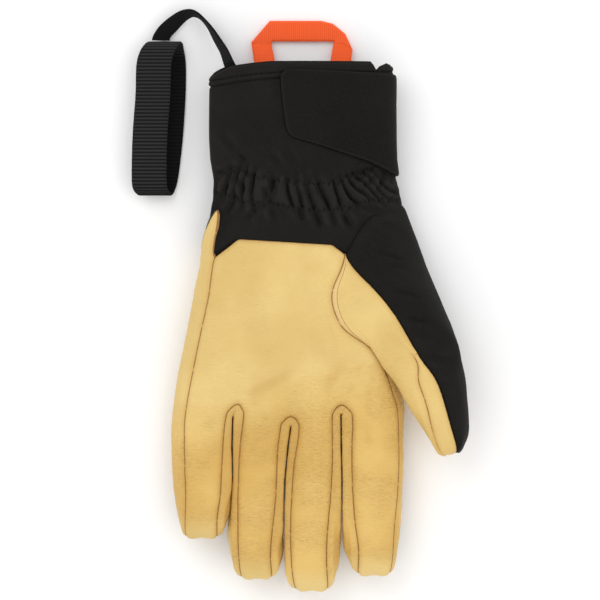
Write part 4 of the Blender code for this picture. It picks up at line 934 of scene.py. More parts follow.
def leather_material(name):
    """Smooth leather: cloudy tone, painted shade on the fingers, fine cross creases with painted shade
    in them, painted shade in hollows and beside the seams, brown in the seams.
    """
    shader = Shader(name, LEATHER_ROUGHNESS, 0.26)
    cloud = shader.spread(shader.noise(LEATHER_CLOUD, 3), 0.34, 0.66)
    palm = shader.mix(cloud, PALM_DEEP, PALM_PALE)
    finger = shader.mix(cloud, SHADED_FINGER_DEEP, SHADED_FINGER_PALE)
    finger_shade = shader.value("finger")
    # Painted shade: the fingers take the darker finger colours, fading out toward the tips
    tone = shader.mix(finger_shade, palm, finger)
    creases = shader.noise(1.0, 4, CREASE_TURNS, distortion=0.5)
    lines = shader.spread(creases, 0.44, 0.66)
    patches = shader.spread(shader.noise(CREASE_PATCHES, 2), 0.30, 0.58, 0.25, 1.0)
    drawn = shader.math("MULTIPLY", patches, shader.spread(finger_shade, 0.0, 1.0, 0.40, 1.0))
    creased = shader.math("MULTIPLY", shader.math("MULTIPLY", lines, drawn), CREASE_SHADE)
    # Painted shade in the fine creases
    tone = shader.mix(creased, tone, LEATHER_SHADE)
    # Painted shade in hollows: the lower the relief, the darker
    low = shader.spread(shader.value("relief"), -0.0008, 0.0, 1.0, 0.0)
    tone = shader.mix(shader.math("MULTIPLY", low, HOLLOW_SHADE), tone, LEATHER_SHADE)
    # Painted shade beside the seams
    near = shader.spread(shader.value("seam"), 0.0003, 0.0034, 1.0, 0.0)
    tone = shader.mix(shader.math("MULTIPLY", near, SEAM_SHADE), tone, LEATHER_SHADE)
    line = shader.spread(shader.value("seam"), 0.00004, 0.00048, 1.0, 0.0)
    welt = shader.value("welt")
    piped = shader.math("MULTIPLY", shader.spread(welt, -0.0005, -0.0001, 1.0, 0.0),
                        shader.spread(welt, -0.005, -0.004))
    tone = shader.mix(shader.math("MULTIPLY", piped, WELT_BAND), tone, WELT_PALE)
    inside = shader.spread(shader.math("ABSOLUTE", welt), 0.00004, 0.00030, WELT_LINE, 0.0)
    line = shader.math("MAXIMUM", shader.math("MULTIPLY", line, SEAM_LINE), inside)
    tone = shader.mix(line, tone, SEAM_BROWN)
    shader.colour(shader.mix(shader.value("binding"), tone, CLOTH_TONE))
    grain = shader.spread(shader.cells(GRAIN_CELLS), 0.0, 0.5)
    height = shader.math("ADD", shader.math("MULTIPLY", shader.math("SUBTRACT", 1.0, creases), drawn),
                         shader.math("MULTIPLY", grain, GRAIN_SHARE))
    shader.bump(height, GRAIN_DEPTH)
    return shader.material


def cloth_material(name, tone, raised):
    """Matt woven cloth with a fine diagonal weave, dark in its seams, with a painted highlight on raised
    folds and painted shade in hollow ones.
    """
    shader = Shader(name, 0.84, 0.06)
    shader.surface.inputs["Sheen Weight"].default_value = 0.03
    shader.surface.inputs["Sheen Roughness"].default_value = 0.5
    cloud = shader.spread(shader.noise(CLOTH_CLOUD, 3), 0.35, 0.65)
    colour = shader.mix(cloud, tone, tuple(part * CLOUD_LIFT for part in tone[:3]) + (1,))
    # Painted highlight on raised folds, using the paler colour
    high = shader.spread(shader.value("relief"), 0.0001, 0.0012)
    colour = shader.mix(shader.math("MULTIPLY", high, FOLD_SHARE), colour, raised)
    # Painted shade in hollow folds
    low = shader.spread(shader.value("relief"), -0.0012, -0.0002, 1.0, 0.0)
    colour = shader.mix(shader.math("MULTIPLY", low, FOLD_SHARE), colour, CLOTH_DEEP)
    thread = shader.spread(shader.noise(1.0, 2, THREAD_TURNS), 0.35, 0.65)
    colour = shader.mix(shader.math("MULTIPLY", thread, THREAD_SHARE), colour, raised)
    line = shader.spread(shader.value("seam"), 0.0001, 0.0011, 1.0, 0.0)
    shader.colour(shader.mix(shader.math("MULTIPLY", line, CLOTH_SEAM), colour, CLOTH_DEEP))
    weave = shader.noise(1.0, 1, WEAVE_TURNS)
    cross = shader.noise(1.0, 1, CROSS_TURNS)
    shader.bump(shader.math("ADD", weave, cross), WEAVE_DEPTH)
    return shader.material


def web_material(name, tone, lit, pitch, roughness, depth, specular):
    """Woven webbing ribbed across its length."""
    shader = Shader(name, roughness, specular)
    turns = shader.math("MULTIPLY", shader.value("along"), 2 * math.pi / pitch)
    rib = shader.spread(shader.math("SINE", turns), -1.0, 1.0, 0.0, 1.0, False)
    weft = shader.math("MULTIPLY", shader.value("across"), 2 * math.pi / YARN_PITCH)
    yarn = shader.math("SINE", shader.math("ADD", shader.math("MULTIPLY", turns, 0.5), weft))
    yarn = shader.spread(yarn, -1.0, 1.0, 0.0, 1.0, False)
    fuzz = shader.noise(FUZZ_TURNS, 2)
    height = shader.math("ADD", shader.math("MULTIPLY", rib, RIB_SHARE),
                         shader.math("MULTIPLY", yarn, YARN_SHARE))
    height = shader.math("ADD", height, shader.math("MULTIPLY", fuzz, FUZZ_SHARE))
    # Painted highlight: raised ribs and yarns are lighter; the face value dims the band's inner face as
    # painted shade
    rib_highlight = shader.math("MULTIPLY", shader.spread(height, 0.2, 1.05), shader.value("face"))
    shader.colour(shader.mix(rib_highlight, tone, lit))
    shader.bump(height, depth)
    return shader.material


# Pieces

def seen_piece(name, node, coords, faces, material, values):
    """A mesh with named values at its points, riding on the model and standing for a node."""
    mesh = bpy.data.meshes.new(name)
    mesh.from_pydata([tuple(place) for place in coords], [], faces)
    for label, numbers in values.items():
        attribute = mesh.attributes.new(label, "FLOAT", "POINT")
        attribute.data.foreach_set("value", np.asarray(numbers, dtype=np.float32))
    mesh.polygons.foreach_set("use_smooth", [True] * len(mesh.polygons))
    mesh.materials.append(material)
    mesh.update()
    piece = bpy.data.objects.new(name, mesh)
    bpy.context.scene.collection.objects.link(piece)
    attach(piece, "root")
    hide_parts(node)


def photo_places(coords):
    """Where points fall in the photograph, in its pixels across and down."""
    scale = CAMERA_RISE / (CAMERA_RISE + FOCUS_HEIGHT - coords[:, 2]) / PHOTO_STEP
    return PHOTO_MIDDLE + coords[:, 0] * scale, PHOTO_MIDDLE - coords[:, 1] * scale


def ramp(low, high, values):
    """Straight rise from 0 at low to 1 at high."""
    return np.clip((values - low) / (high - low), 0, 1)


def steps_between(low, high, values):
    """Smooth rise from 0 at low to 1 at high."""
    share = ramp(low, high, values)
    return share * share * (3 - 2 * share)


def hump(values, middle, width):
    """A smooth bump, 1 high, round a middle."""
    return np.exp(-((values - middle) / width) ** 2)


def by_strip_start(x, y, spread):
    """1 where the narrow thumb strip starts, falling off round it."""
    return np.exp(-((x - STRIP_START[0]) ** 2 + (y - STRIP_START[1]) ** 2) / spread)


def short_of_tip(x, y):
    """How far a photo place lies above its finger's end, in pixels."""
    return np.interp(x, *TIP_PLACES) - y


def stroke_relief(strokes, x, y):
    """Depth of drawn folds at photo places: each a hollow with low shoulders, fading at both ends."""
    result = np.zeros(len(x))
    for start_x, start_y, end_x, end_y, width, depth in strokes:
        run = np.array([end_x - start_x, end_y - start_y], dtype=float)
        length = float(np.hypot(*run))
        run /= length
        along = (x - start_x) * run[0] + (y - start_y) * run[1]
        aside = -(x - start_x) * run[1] + (y - start_y) * run[0]
        past = np.maximum(np.maximum(-along, along - length), 0.0)
        end = steps_between(0, FOLD_FADE * length, np.minimum(along, length - along))
        shoulders = hump(np.abs(aside), SHOULDER_PLACE * width, width)
        shape = hump(aside, 0, width) - SHOULDER_HEIGHT * shoulders
        result -= depth * shape * end * hump(past, 0, width)
    return result


def noise_at(coords, turns):
    """Smooth noise from -1 to 1 at each place, with so many turns for each metre."""
    return np.array([noise.noise(Vector(place)) for place in coords * np.array(turns)])


def noise_line(across, down, layer):
    """Smooth noise from -1 to 1 at pairs of numbers."""
    return noise_at(np.stack([across, down, np.full(len(down), layer)], axis=1), 1)


def skin_arrays():
    skin = fitted_skin(hand_cage(), SKIN_LEVELS)
    count = len(skin.vertices)
    coords = np.empty(count * 3)
    normals = np.empty(count * 3)
    skin.vertices.foreach_get("co", coords)
    skin.vertices.foreach_get("normal", normals)
    faces = np.array([tuple(polygon.vertices) for polygon in skin.polygons])
    panels = np.array([polygon.material_index for polygon in skin.polygons])
    coords = coords.reshape(-1, 3)
    coords[coords[:, 2] < PRESSED_FLAT, 2] = 0.0
    return coords, normals.reshape(-1, 3), faces, panels


def seam_edges(faces, panels):
    """Edges where panels meet or the skin ends: their points, and the panels on the two sides."""
    pairs = np.sort(np.stack([faces, np.roll(faces, -1, axis=1)], axis=2).reshape(-1, 2), axis=1)
    owners = np.repeat(panels, 4)
    edges, turned = np.unique(pairs, axis=0, return_inverse=True)
    turned = turned.reshape(-1)
    low = np.full(len(edges), 999)
    high = np.full(len(edges), -1)
    count = np.zeros(len(edges), dtype=int)
    np.minimum.at(low, turned, owners)
    np.maximum.at(high, turned, owners)
    np.add.at(count, turned, 1)
    chosen = (low != high) | (count == 1)
    open_edge = count[chosen] == 1
    return edges[chosen], low[chosen], np.where(open_edge, -1, high[chosen])


def panel_relief(name, coords, normals, near, distance, welt):
    """How far each point of a panel stands out: seam hollow, puckers, creases and drawn folds."""
    leather = name in LEATHER_PANELS
    x, y = photo_places(coords)
    facing = ramp(0.05, 0.45, normals[:, 2])
    hollow = -SEAM_HOLLOW * hump(distance, 0, SEAM_REACH) * (1.0 if leather else 0.5)
    puff = SIDE_PUFF if name in SIDE_PANELS else SEAM_PUFF
    relief = hollow + puff * hump(distance, PUFF_PLACE, PUFF_WIDTH)
    puckers = noise_at(near, PUCKER_TURNS) * np.exp(-distance / PUCKER_REACH)
    relief += PUCKER * puckers * steps_between(6, 30, np.abs(short_of_tip(x, y)))
    for depth, turns in LEATHER_WAVES if leather else CLOTH_WAVES:
        relief += ramp(0, SEAM_EASE, distance) * depth * noise_at(coords, turns)
    folds, unit = (LEATHER_FOLDS, LEATHER_FOLD) if leather else (CLOTH_FOLDS, CLOTH_FOLD)
    relief += stroke_relief(folds, x, y) * unit * facing
    relief += WELT_RAISE * hump(welt, 0, WELT_WIDTH)
    relief -= WELT_DIP * hump(welt, WELT_DIP_PLACE, WELT_DIP_WIDTH)
    if name in THUMB_LEATHERS:
        relief *= 1 - by_strip_start(x, y, 30)
    resting = (1 - ramp(0, REST_EASE, coords[:, 2])) * ramp(0, 1, -normals[:, 2])
    return relief * (1 - resting)


def border_finder(coords, ends):
    """Finds the nearest of the places set along border edges, each numbered by its edge."""
    finder = KDTree(len(ends) * BORDER_PARTS)
    for place, (start, end) in enumerate(coords[ends]):
        for part in range(BORDER_PARTS):
            finder.insert(start + (end - start) * (part / BORDER_PARTS), place * BORDER_PARTS + part)
    finder.balance()
    return finder


def welt_distance(name, near, distance, facing):
    """Distance past the inner line of the thumb's welt, or 1 where there is no welt."""
    if name != "thumb_leather":
        return np.ones(len(distance))
    width = np.interp(photo_places(near)[1], WELT_PLACES, WELT_WIDTHS)
    there = (facing == PANEL_NUMBER["palm_leather"]) & (width > WELT_LEAST)
    return np.where(there, distance - width, 1.0)


def close_slit(name, points, normals, outer, distance):
    """Draws the two sides of a slit between fingers together, but for a narrow uneven gap."""
    slit = np.array(SLITS[SIDE_PANELS.index(name)])[::-1]
    gap = np.interp(points[:, 1] / PALM_LENGTH, slit[:, 0], slit[:, 1]) * PALM_WIDTH - outer[:, 0]
    share = ramp(*SLIT_FACING, np.abs(normals[:, 0])) * steps_between(*SLIT_BELOW_SEAM, distance)
    share *= 1 - steps_between(*SLIT_NEAR, np.abs(gap))
    middle = PHOTO_MIDDLE + slit[0, 1] * PALM_WIDTH / PHOTO_STEP
    shorter_tip = min(np.interp(middle + side, *TIP_PLACES) for side in (-9, 9))
    share *= 1 - steps_between(*SLIT_END, photo_places(points)[1] - shorter_tip)
    slack = SLIT_GAP + SLIT_UNEVEN * noise_at(points, SLIT_TURNS)
    outer[:, 0] += (gap - slack * np.sign(gap)) * share


def straighten_top(outer, x, y, wrist_edge):
    """Moves the palm leather's top edge onto its line in the photograph, easing out below it."""
    edge_x, edge_y = photo_places(wrist_edge)
    order = np.argsort(edge_x)
    edge = np.interp(x, edge_x[order], edge_y[order])
    rise = (edge - np.interp(x, *PALM_TOP)) * (1 - steps_between(0, PALM_TOP_EASE, y - edge))
    near_top = (y < PALM_TOP_END) & (x > PALM_TOP[0][0]) & (x < PALM_TOP[0][-1])
    outer[:, 1] += rise * PHOTO_STEP * near_top


def rim_skirt(outer, normals, used, own, ends):
    """Points turned in under a panel's border, and the panel's faces with those out to them."""
    place_of = {int(vertex): index for index, vertex in enumerate(used)}
    rim = sorted({int(vertex) for pair in ends for vertex in pair})
    inner_of = {vertex: len(used) + index for index, vertex in enumerate(rim)}
    inner = [outer[place_of[vertex]] - normals[vertex] * RIM_DEPTH for vertex in rim]
    quads = [tuple(int(corner) for corner in face) for face in own]
    directed = {
        (int(used[start]), int(used[end])) for face in own for start, end in zip(face, np.roll(face, -1))
    }
    for first, second in ends.tolist():
        if (first, second) not in directed:
            first, second = second, first
        quads.append((place_of[second], place_of[first], inner_of[first], inner_of[second]))
    return inner, quads


def finger_shade_share(name, x, y):
    """Painted shade on the leather: darker from the knuckles down the fingers, fading out short of the
    fingertips, which keep the paler palm tone as a painted highlight; on the thumb, a little darker
    further down.
    """
    if name in THUMB_LEATHERS:
        return 0.15 * steps_between(300, 360, y)
    below = y - np.interp(x, *FINGER_SHADE_EDGE)
    finger_shade = 0.4 * steps_between(0, 9, below) + 0.6 * steps_between(10, 60, below)
    return finger_shade * steps_between(2, 26, short_of_tip(x, y))


def build_hand(materials):
    coords, normals, faces, panels = skin_arrays()
    edges, low, high = seam_edges(faces, panels)
    for number, name in enumerate(PANELS):
        used, turned = np.unique(faces[panels == number], return_inverse=True)
        own = turned.reshape(-1, 4)
        border = (low == number) | (high == number)
        ends = edges[border]
        beyond = np.where(low[border] == number, high[border], low[border])
        finder = border_finder(coords, ends)
        points, aims = coords[used], normals[used]
        x, y = photo_places(points)
        found = [finder.find(place) for place in points]
        near = np.array([tuple(hit[0]) for hit in found])
        distance = np.array([hit[2] for hit in found])
        facing = beyond[[hit[1] // BORDER_PARTS for hit in found]]
        welt = welt_distance(name, near, distance, facing)
        seam = distance.copy()
        bound = np.zeros(len(used))
        if name in THUMB_LEATHERS:
            beside_palm = facing != PANEL_NUMBER["thumb_back"]
            seam += SEAM_HIDDEN * ramp(HIDDEN_START, HIDDEN_END, y) * beside_palm
            seam += SEAM_HIDDEN * by_strip_start(x, y, 12)
        if name == "little_side_strip":
            bound = steps_between(-0.5, 0.5, np.interp(y, *BINDING_EDGE) - x) * (y < BINDING_END)
        relief = panel_relief(name, points, aims, near, distance, welt)
        outer = points + aims * relief[:, None]
        if name in SIDE_PANELS:
            close_slit(name, points, aims, outer, distance)
        if name == "palm_leather":
            straighten_top(outer, x, y, coords[np.unique(ends[beyond == -1])])
        outer[:, 2] = np.maximum(outer[:, 2], 0.0)
        inner, quads = rim_skirt(outer, normals, used, own, ends)
        # A low relief value at the rim paints shade on the turned-in edge
        at_rim = {"seam": 0.0, "relief": -0.001, "finger": 1.0, "welt": 1.0, "binding": 0.0}
        finger_shade = finger_shade_share(name, x, y)
        on_face = {"seam": seam, "relief": relief, "finger": finger_shade, "welt": welt, "binding": bound}
        values = {
            label: np.concatenate([on_face[label], np.full(len(inner), value)])
            for label, value in at_rim.items()
        }
        material = materials["leather" if name in LEATHER_PANELS else "cloth"]
        seen_piece("seen_" + name, name, list(outer) + inner, quads, material, values)


def grid_faces(rows, columns, closed, first=0, turned=False):
    quads = []
    for row in range(rows - 1):
        for column in range(columns if closed else columns - 1):
            after = (column + 1) % columns
            quad = (first + row * columns + column, first + (row + 1) * columns + column,
                    first + (row + 1) * columns + after, first + row * columns + after)
            quads.append(tuple(reversed(quad)) if turned else quad)
    return quads


def column_angles(front, back):
    """Angles round the sleeve at even distances, some over the palm side and some over the back."""
    samples = 1440
    y = WRIST_Y + CUFF_LENGTH / 3
    points = [sleeve_point(2 * math.pi * step / samples, y, 0) for step in range(samples + 1)]
    lengths = np.concatenate(([0], np.cumsum([(b - a).length for a, b in zip(points, points[1:])])))
    half = lengths[samples // 2]
    wanted = [half * column / front for column in range(front)]
    wanted += [half + (lengths[-1] - half) * column / back for column in range(back)]
    steps = np.interp(wanted, lengths, range(samples + 1))
    return [2 * math.pi * float(step) / samples for step in steps]


def mouth_y(angle):
    if angle <= math.pi:
        drop = share_at(MOUTH_DROP, math.cos(angle))
        drop += MOUTH_SHIFT / CUFF_LENGTH * min(2 * math.sin(angle), 1.0)
    else:
        drop = share_at(BACK_MOUTH_DROP, angle / math.pi - 1)
    return WRIST_Y + CUFF_LENGTH * (1 - drop)


def wrist_edge_y(angle):
    table = FRONT_EDGE if angle <= math.pi else BACK_EDGE
    x = sleeve_point(angle, WRIST_Y, 0).x
    return share_at(table, x / PALM_WIDTH) * PALM_LENGTH


def tab_y(x, down):
    """Height up the cuff of the closure tab at x, from its top edge, 0, to its lower edge, 1."""
    right = CUFF_X + CUFF_WIDTH / 2
    across = max(min(x, right) - (right - TAB_LENGTH), 0.0)
    top = WRIST_Y + CUFF_LENGTH * (1 - TAB_TOP)
    lift = float(np.interp(PHOTO_MIDDLE + x / PHOTO_STEP, *TAB_LOWER)) * PHOTO_STEP
    return top - TAB_TOP_SLANT * across - down * (TAB_HEIGHT + TAB_SLANT * across - lift)


def gather_relief(x, y, run):
    """Gathers between and beside the two elastic rows, their stitches, and the drawn folds."""
    upper, lower = np.interp(x, *UPPER_ROW), np.interp(x, *LOWER_ROW)
    turn = (x - np.interp(x, *GATHER_SLANTS) * (y - 195)) / GATHER_PITCH
    turn += 1.1 * noise_line(x / 30, y / 45, 3.7)
    fold = 2 * np.abs(np.sin(np.pi * turn)) ** 0.75 - 1
    fold *= 1 + 1.1 * noise_line(turn * 0.9, y / 16, 5.3)
    over = steps_between(-20, 0, y - upper) * (1 - steps_between(0, 20, y - lower))
    inside = steps_between(-3, 5, y - upper) * (1 - steps_between(-5, 3, y - lower))
    strength = np.interp(x, *GATHER_STRENGTH)
    relief = fold * strength * (GATHER_BESIDE * over + GATHER_BETWEEN * inside)
    relief += GATHER_SMALL * noise_line(x / 5.5, y / 12, 9.1) * over * (0.5 + 0.5 * strength)
    stitch = 0.6 + 0.4 * np.cos(2 * np.pi * run / STITCH_PITCH)
    zigzag = ZIGZAG_SWING * np.sin(2 * np.pi * run / ZIGZAG_PITCH)
    for row in (upper, lower):
        relief -= ROW_DEPTH * hump(y - row, zigzag, ROW_WIDTH) * stitch
    return relief + stroke_relief(CLOTH_FOLDS, x, y) * CUFF_FOLD


def hem_relief(x, y, run, front):
    """The turned hem: a raised band with a row of stitches and a step at its edge."""
    below = y - np.interp(x, *HEM_ROW)
    dash = 0.45 + 0.55 * (np.sin(2 * np.pi * run / STITCH_PITCH) > -0.2)
    relief = HEM_WALL * (1 - steps_between(4.0, 5.6, below))
    relief -= HEM_STITCH * hump(below, 0, 0.9) * dash
    relief -= HEM_STEP * hump(below, HEM_EDGE, 1.1)
    return relief * np.where(front, 1.0, 0.8)


def tab_shadow(place):
    """How dark the cuff is just outside the tab's front and lower edges, as a relief."""
    top, low = tab_y(place[0], 0), tab_y(place[0], 1)
    down = min(max((top - place[1]) / (top - low), 0.0), 1.0)
    front = TAB_LEFT + share_at(TAB_EDGE, down) * TAB_LENGTH
    if place[2] < CLEAR + SHADOW_FLOOR or place[1] > top:
        return 0.0
    aside = max(front - place[0], 0.0)
    under = max(low - place[1], 0.0)
    return SHADOW_DEPTH * math.exp(-(math.hypot(aside, under) / SHADOW_REACH) ** 2)


def cuff_stations(angles):
    """Each angle round the sleeve with the y of the mouth and of the hand's wrist edge there."""
    return [(angle, mouth_y(angle), wrist_edge_y(angle)) for angle in angles]


def cuff_point(angle, y, edge):
    """A place on the cuff before its relief, the way out from it, and how far it is tucked in."""
    away = sleeve_point(angle, y, 0.001) - sleeve_point(angle, y, 0.0)
    at_wrist = sleeve_point(angle, WRIST_Y, 0).x
    up = min(max(away.z * 1000 / 0.6 + 1, 0.0), 1.0)
    beside = share_at(((-0.400, 0.050), (-0.335, edge)), at_wrist / PALM_WIDTH)
    lift = up if at_wrist > 0 else min(max(away.z * 1000 / 0.4, 0.0), 1.0)
    raised = eased((beside + WRIST_RAISE_START - y) / WRIST_RAISE_START) * lift
    tucked = eased((edge + 0.0002 - y) / WRIST_DIP_EASE) * up
    tucked += eased((edge + TUCK_START - y) / TUCK_EASE) * (1 - up)
    dip = (WRIST_DIP * up + TUCK_IN * (1 - up)) * tucked
    place = sleeve_point(angle, y, WRIST_RAISE * raised - dip)
    if angle > math.pi:
        place.z = max(place.z, (CLOTH_WALL + TUCK_ROOM) * tucked * (1 - up))
    return place, away.normalized(), tucked


def cuff_lip(stations):
    """The rounded edge of the mouth, from the outer face to the lining."""
    lip = []
    for turn in range(LIP_STEPS + 1):
        share = turn / LIP_STEPS
        swing = math.pi / 2 * (2 * share - 1)
        out = HEM_WALL - MOUTH_ROUND + (MOUTH_ROUND - CLOTH_WALL - HEM_WALL) * share
        beyond = LIP_REACH * math.cos(swing)
        lip += [tuple(sleeve_point(angle, mouth + beyond, out)) for angle, mouth, _ in stations]
    return lip


def build_lining(stations, rows, materials):
    lining = []
    for along in rows:
        for angle, mouth, edge in stations:
            y = mouth + (edge - TUCK - mouth) * along - LINING_CLEAR * (along == 0)
            tucked = eased((edge + TUCK_START - y) / TUCK_EASE)
            point = sleeve_point(angle, y, -CLOTH_WALL - TUCK_IN * tucked)
            if angle > math.pi:
                point.z = max(point.z, (CLOTH_WALL + TUCK_ROOM) * tucked + CLOTH_WALL)
            lining.append(tuple(point))
    faces = grid_faces(len(rows), len(stations), True, 0, True)
    seen_piece("seen_cuff_lining", "cuff", lining, faces, materials["lining"], {
        "relief": np.zeros(len(lining)), "seam": np.ones(len(lining))})


def build_cuff(materials):
    stations = cuff_stations(column_angles(*CUFF_COLUMNS))
    columns = len(stations)
    hem_rows = np.linspace(0, HEM_SHARE, HEM_ROWS)[:-1]
    rows = np.concatenate([hem_rows, np.linspace(HEM_SHARE, 1.0, BODY_ROWS)])
    places, ways, runs, tucks = [], [], [], []
    for along in rows:
        run, last = 0.0, None
        for angle, mouth, edge in stations:
            place, way, tucked = cuff_point(angle, mouth + (edge - TUCK - mouth) * along, edge)
            run += (place - last).length if last else 0.0
            last = place
            places.append(tuple(place))
            ways.append(tuple(way))
            runs.append(run)
            tucks.append(tucked)
    coords, ways, runs, tucks = (np.array(part) for part in (places, ways, runs, tucks))
    fronts = np.tile([angle <= math.pi for angle, _, _ in stations], len(rows))
    x, y = photo_places(coords)
    facing = np.where(fronts, ramp(0, 0.30, ways[:, 2]), 0.0)
    clear_of_tab = np.array([
        eased((tab_y(place[0], 1) - place[1] + 0.001) / 0.004) if place[0] > TAB_LEFT else 1.0
        for place in coords
    ])
    relief = gather_relief(x, y, runs) * facing * clear_of_tab + hem_relief(x, y, runs, fronts)
    above_rest = ramp(0, REST_EASE, coords[:, 2])
    for (depth, turns), where in ((CUFF_WAVE, above_rest), (CUFF_FINE_WAVE, facing)):
        relief += depth * noise_at(coords, turns) * clear_of_tab * where
    relief = np.maximum(relief * (1 - tucks), -DEEPEST)
    shadow = np.array([tab_shadow(place) for place in coords])
    round_in = MOUTH_ROUND * (1 - np.sqrt(ramp(0, MOUTH_ROUND_SHARE, np.repeat(rows, columns))))
    coords = coords + ways * (relief - round_in)[:, None]
    coords[:, 2] = np.maximum(coords[:, 2], 0.0)
    lip = cuff_lip(stations)
    faces = grid_faces(len(rows), columns, True)
    faces += grid_faces(LIP_STEPS + 1, columns, True, len(coords), True)
    # The relief value also carries the tab's painted shadow
    seen_piece("seen_cuff", "cuff", list(coords) + lip, faces, materials["cloth"], {
        "relief": np.concatenate([relief - shadow, np.zeros(len(lip))]),
        "seam": np.ones(len(coords) + len(lip))})
    build_lining(stations[::LINING_COLUMN_STEP], rows[::LINING_ROW_STEP], materials)


def build_tab(materials):
    """The closure tab: a soft plate round the thumb side, thinner at its rounded edges."""
    top = WRIST_Y + CUFF_LENGTH * (1 - TAB_TOP)
    reach = sorted(angle for angle in column_angles(*TAB_SAMPLES) if angle < math.pi)
    xs = [sleeve_point(angle, top, 0).x for angle in reach]
    end_angle = column_angles(*MODEL_COLUMNS)[-1] - 2 * math.pi
    height = TAB_HEIGHT + TAB_SLANT * TAB_LENGTH / 2
    outer, inner, depth = [], [], []
    for row in range(TAB_GRID_ROWS):
        down = row / (TAB_GRID_ROWS - 1)
        edge_x = TAB_LEFT + share_at(TAB_EDGE, down) * TAB_LENGTH
        start = float(np.interp(-edge_x, [-x for x in xs], reach))
        for column in range(TAB_GRID_COLUMNS):
            across = column / (TAB_GRID_COLUMNS - 1)
            angle = start + (end_angle - start) * across
            place = sleeve_point(angle, top, 0)
            y = tab_y(place.x if angle > 0 else TAB_LEFT + TAB_LENGTH, down)
            rim = min(down * height, (1 - down) * height, across * TAB_LENGTH * 1.3)
            rounded = math.sqrt(1 - (1 - min(rim / TAB_ROUND, 1.0)) ** 2)
            thick = TAB_WALL * (TAB_EDGE_SHARE + (1 - TAB_EDGE_SHARE) * rounded)
            ripple = TAB_RIPPLE * noise.noise(Vector((place.x, y, 0.0)) * TAB_RIPPLE_TURNS)
            outer.append(sleeve_point(angle, y, HEM_WALL + TAB_STANDS_OUT + thick + ripple))
            inner.append(sleeve_point(angle, y, HEM_WALL + TAB_STANDS_OUT))
            stitched = math.exp(-((rim - TAB_STITCH_PLACE) / TAB_LINE_WIDTH) ** 2)
            # Painted highlight along the rim
            edge_highlight = math.exp(-rim / TAB_LINE_WIDTH)
            depth.append(TAB_EDGE_HIGHLIGHT * edge_highlight - TAB_STITCH_DARK * stitched)
    count = len(outer)
    faces = grid_faces(TAB_GRID_ROWS, TAB_GRID_COLUMNS, False, 0, True)
    faces += grid_faces(TAB_GRID_ROWS, TAB_GRID_COLUMNS, False, count)
    last_row = count - TAB_GRID_COLUMNS
    ring = list(range(TAB_GRID_COLUMNS))
    ring += range(2 * TAB_GRID_COLUMNS - 1, count, TAB_GRID_COLUMNS)
    ring += range(count - 2, last_row - 1, -1)
    ring += range(last_row - TAB_GRID_COLUMNS, 0, -TAB_GRID_COLUMNS)
    for first, second in zip(ring, ring[1:] + ring[:1]):
        faces.append((first, second, count + second, count + first))
    seen_piece("seen_closure_tab", "closure_tab", outer + inner, faces, materials["tab"], {
        "relief": np.array(depth + [0.0] * count), "seam": np.full(2 * count, 1.0)})


def smooth_rows(rows, closed, steps):
    """Rows of a table with rows on a smooth curve between them."""
    rows = np.array(rows, dtype=float)
    count = len(rows)
    result = []
    for number in range(count if closed else count - 1):
        if closed:
            before, start, end, after = (rows[(number + step) % count] for step in (-1, 0, 1, 2))
        else:
            before, start = rows[max(number - 1, 0)], rows[number]
            end, after = rows[number + 1], rows[min(number + 2, count - 1)]
        for step in range(steps):
            t = step / steps
            result.append(start + 0.5 * t * (end - before + t * (
                2 * before - 5 * start + 4 * end - after + t * (3 * (start - end) + after - before))))
    if not closed:
        result.append(rows[-1])
    return result


def evened(edges, closed, spacing):
    """The same ribbon with its stations at an even distance."""
    pairs = np.array([[tuple(left), tuple(right)] for left, right in edges])
    if closed:
        pairs = np.concatenate([pairs, pairs[:1]])
    middles = pairs.mean(axis=1)
    lengths = np.concatenate(([0], np.cumsum(np.linalg.norm(np.diff(middles, axis=0), axis=1))))
    count = max(int(round(lengths[-1] / spacing)), 8)
    wanted = np.linspace(0, lengths[-1], count + 1)[:count if closed else count + 1]
    flat = pairs.reshape(len(pairs), 6)
    placed = np.stack([np.interp(wanted, lengths, flat[:, part]) for part in range(6)], axis=1)
    result = [(Vector(row[:3]), Vector(row[3:])) for row in placed]
    return result, wanted, lengths[-1]


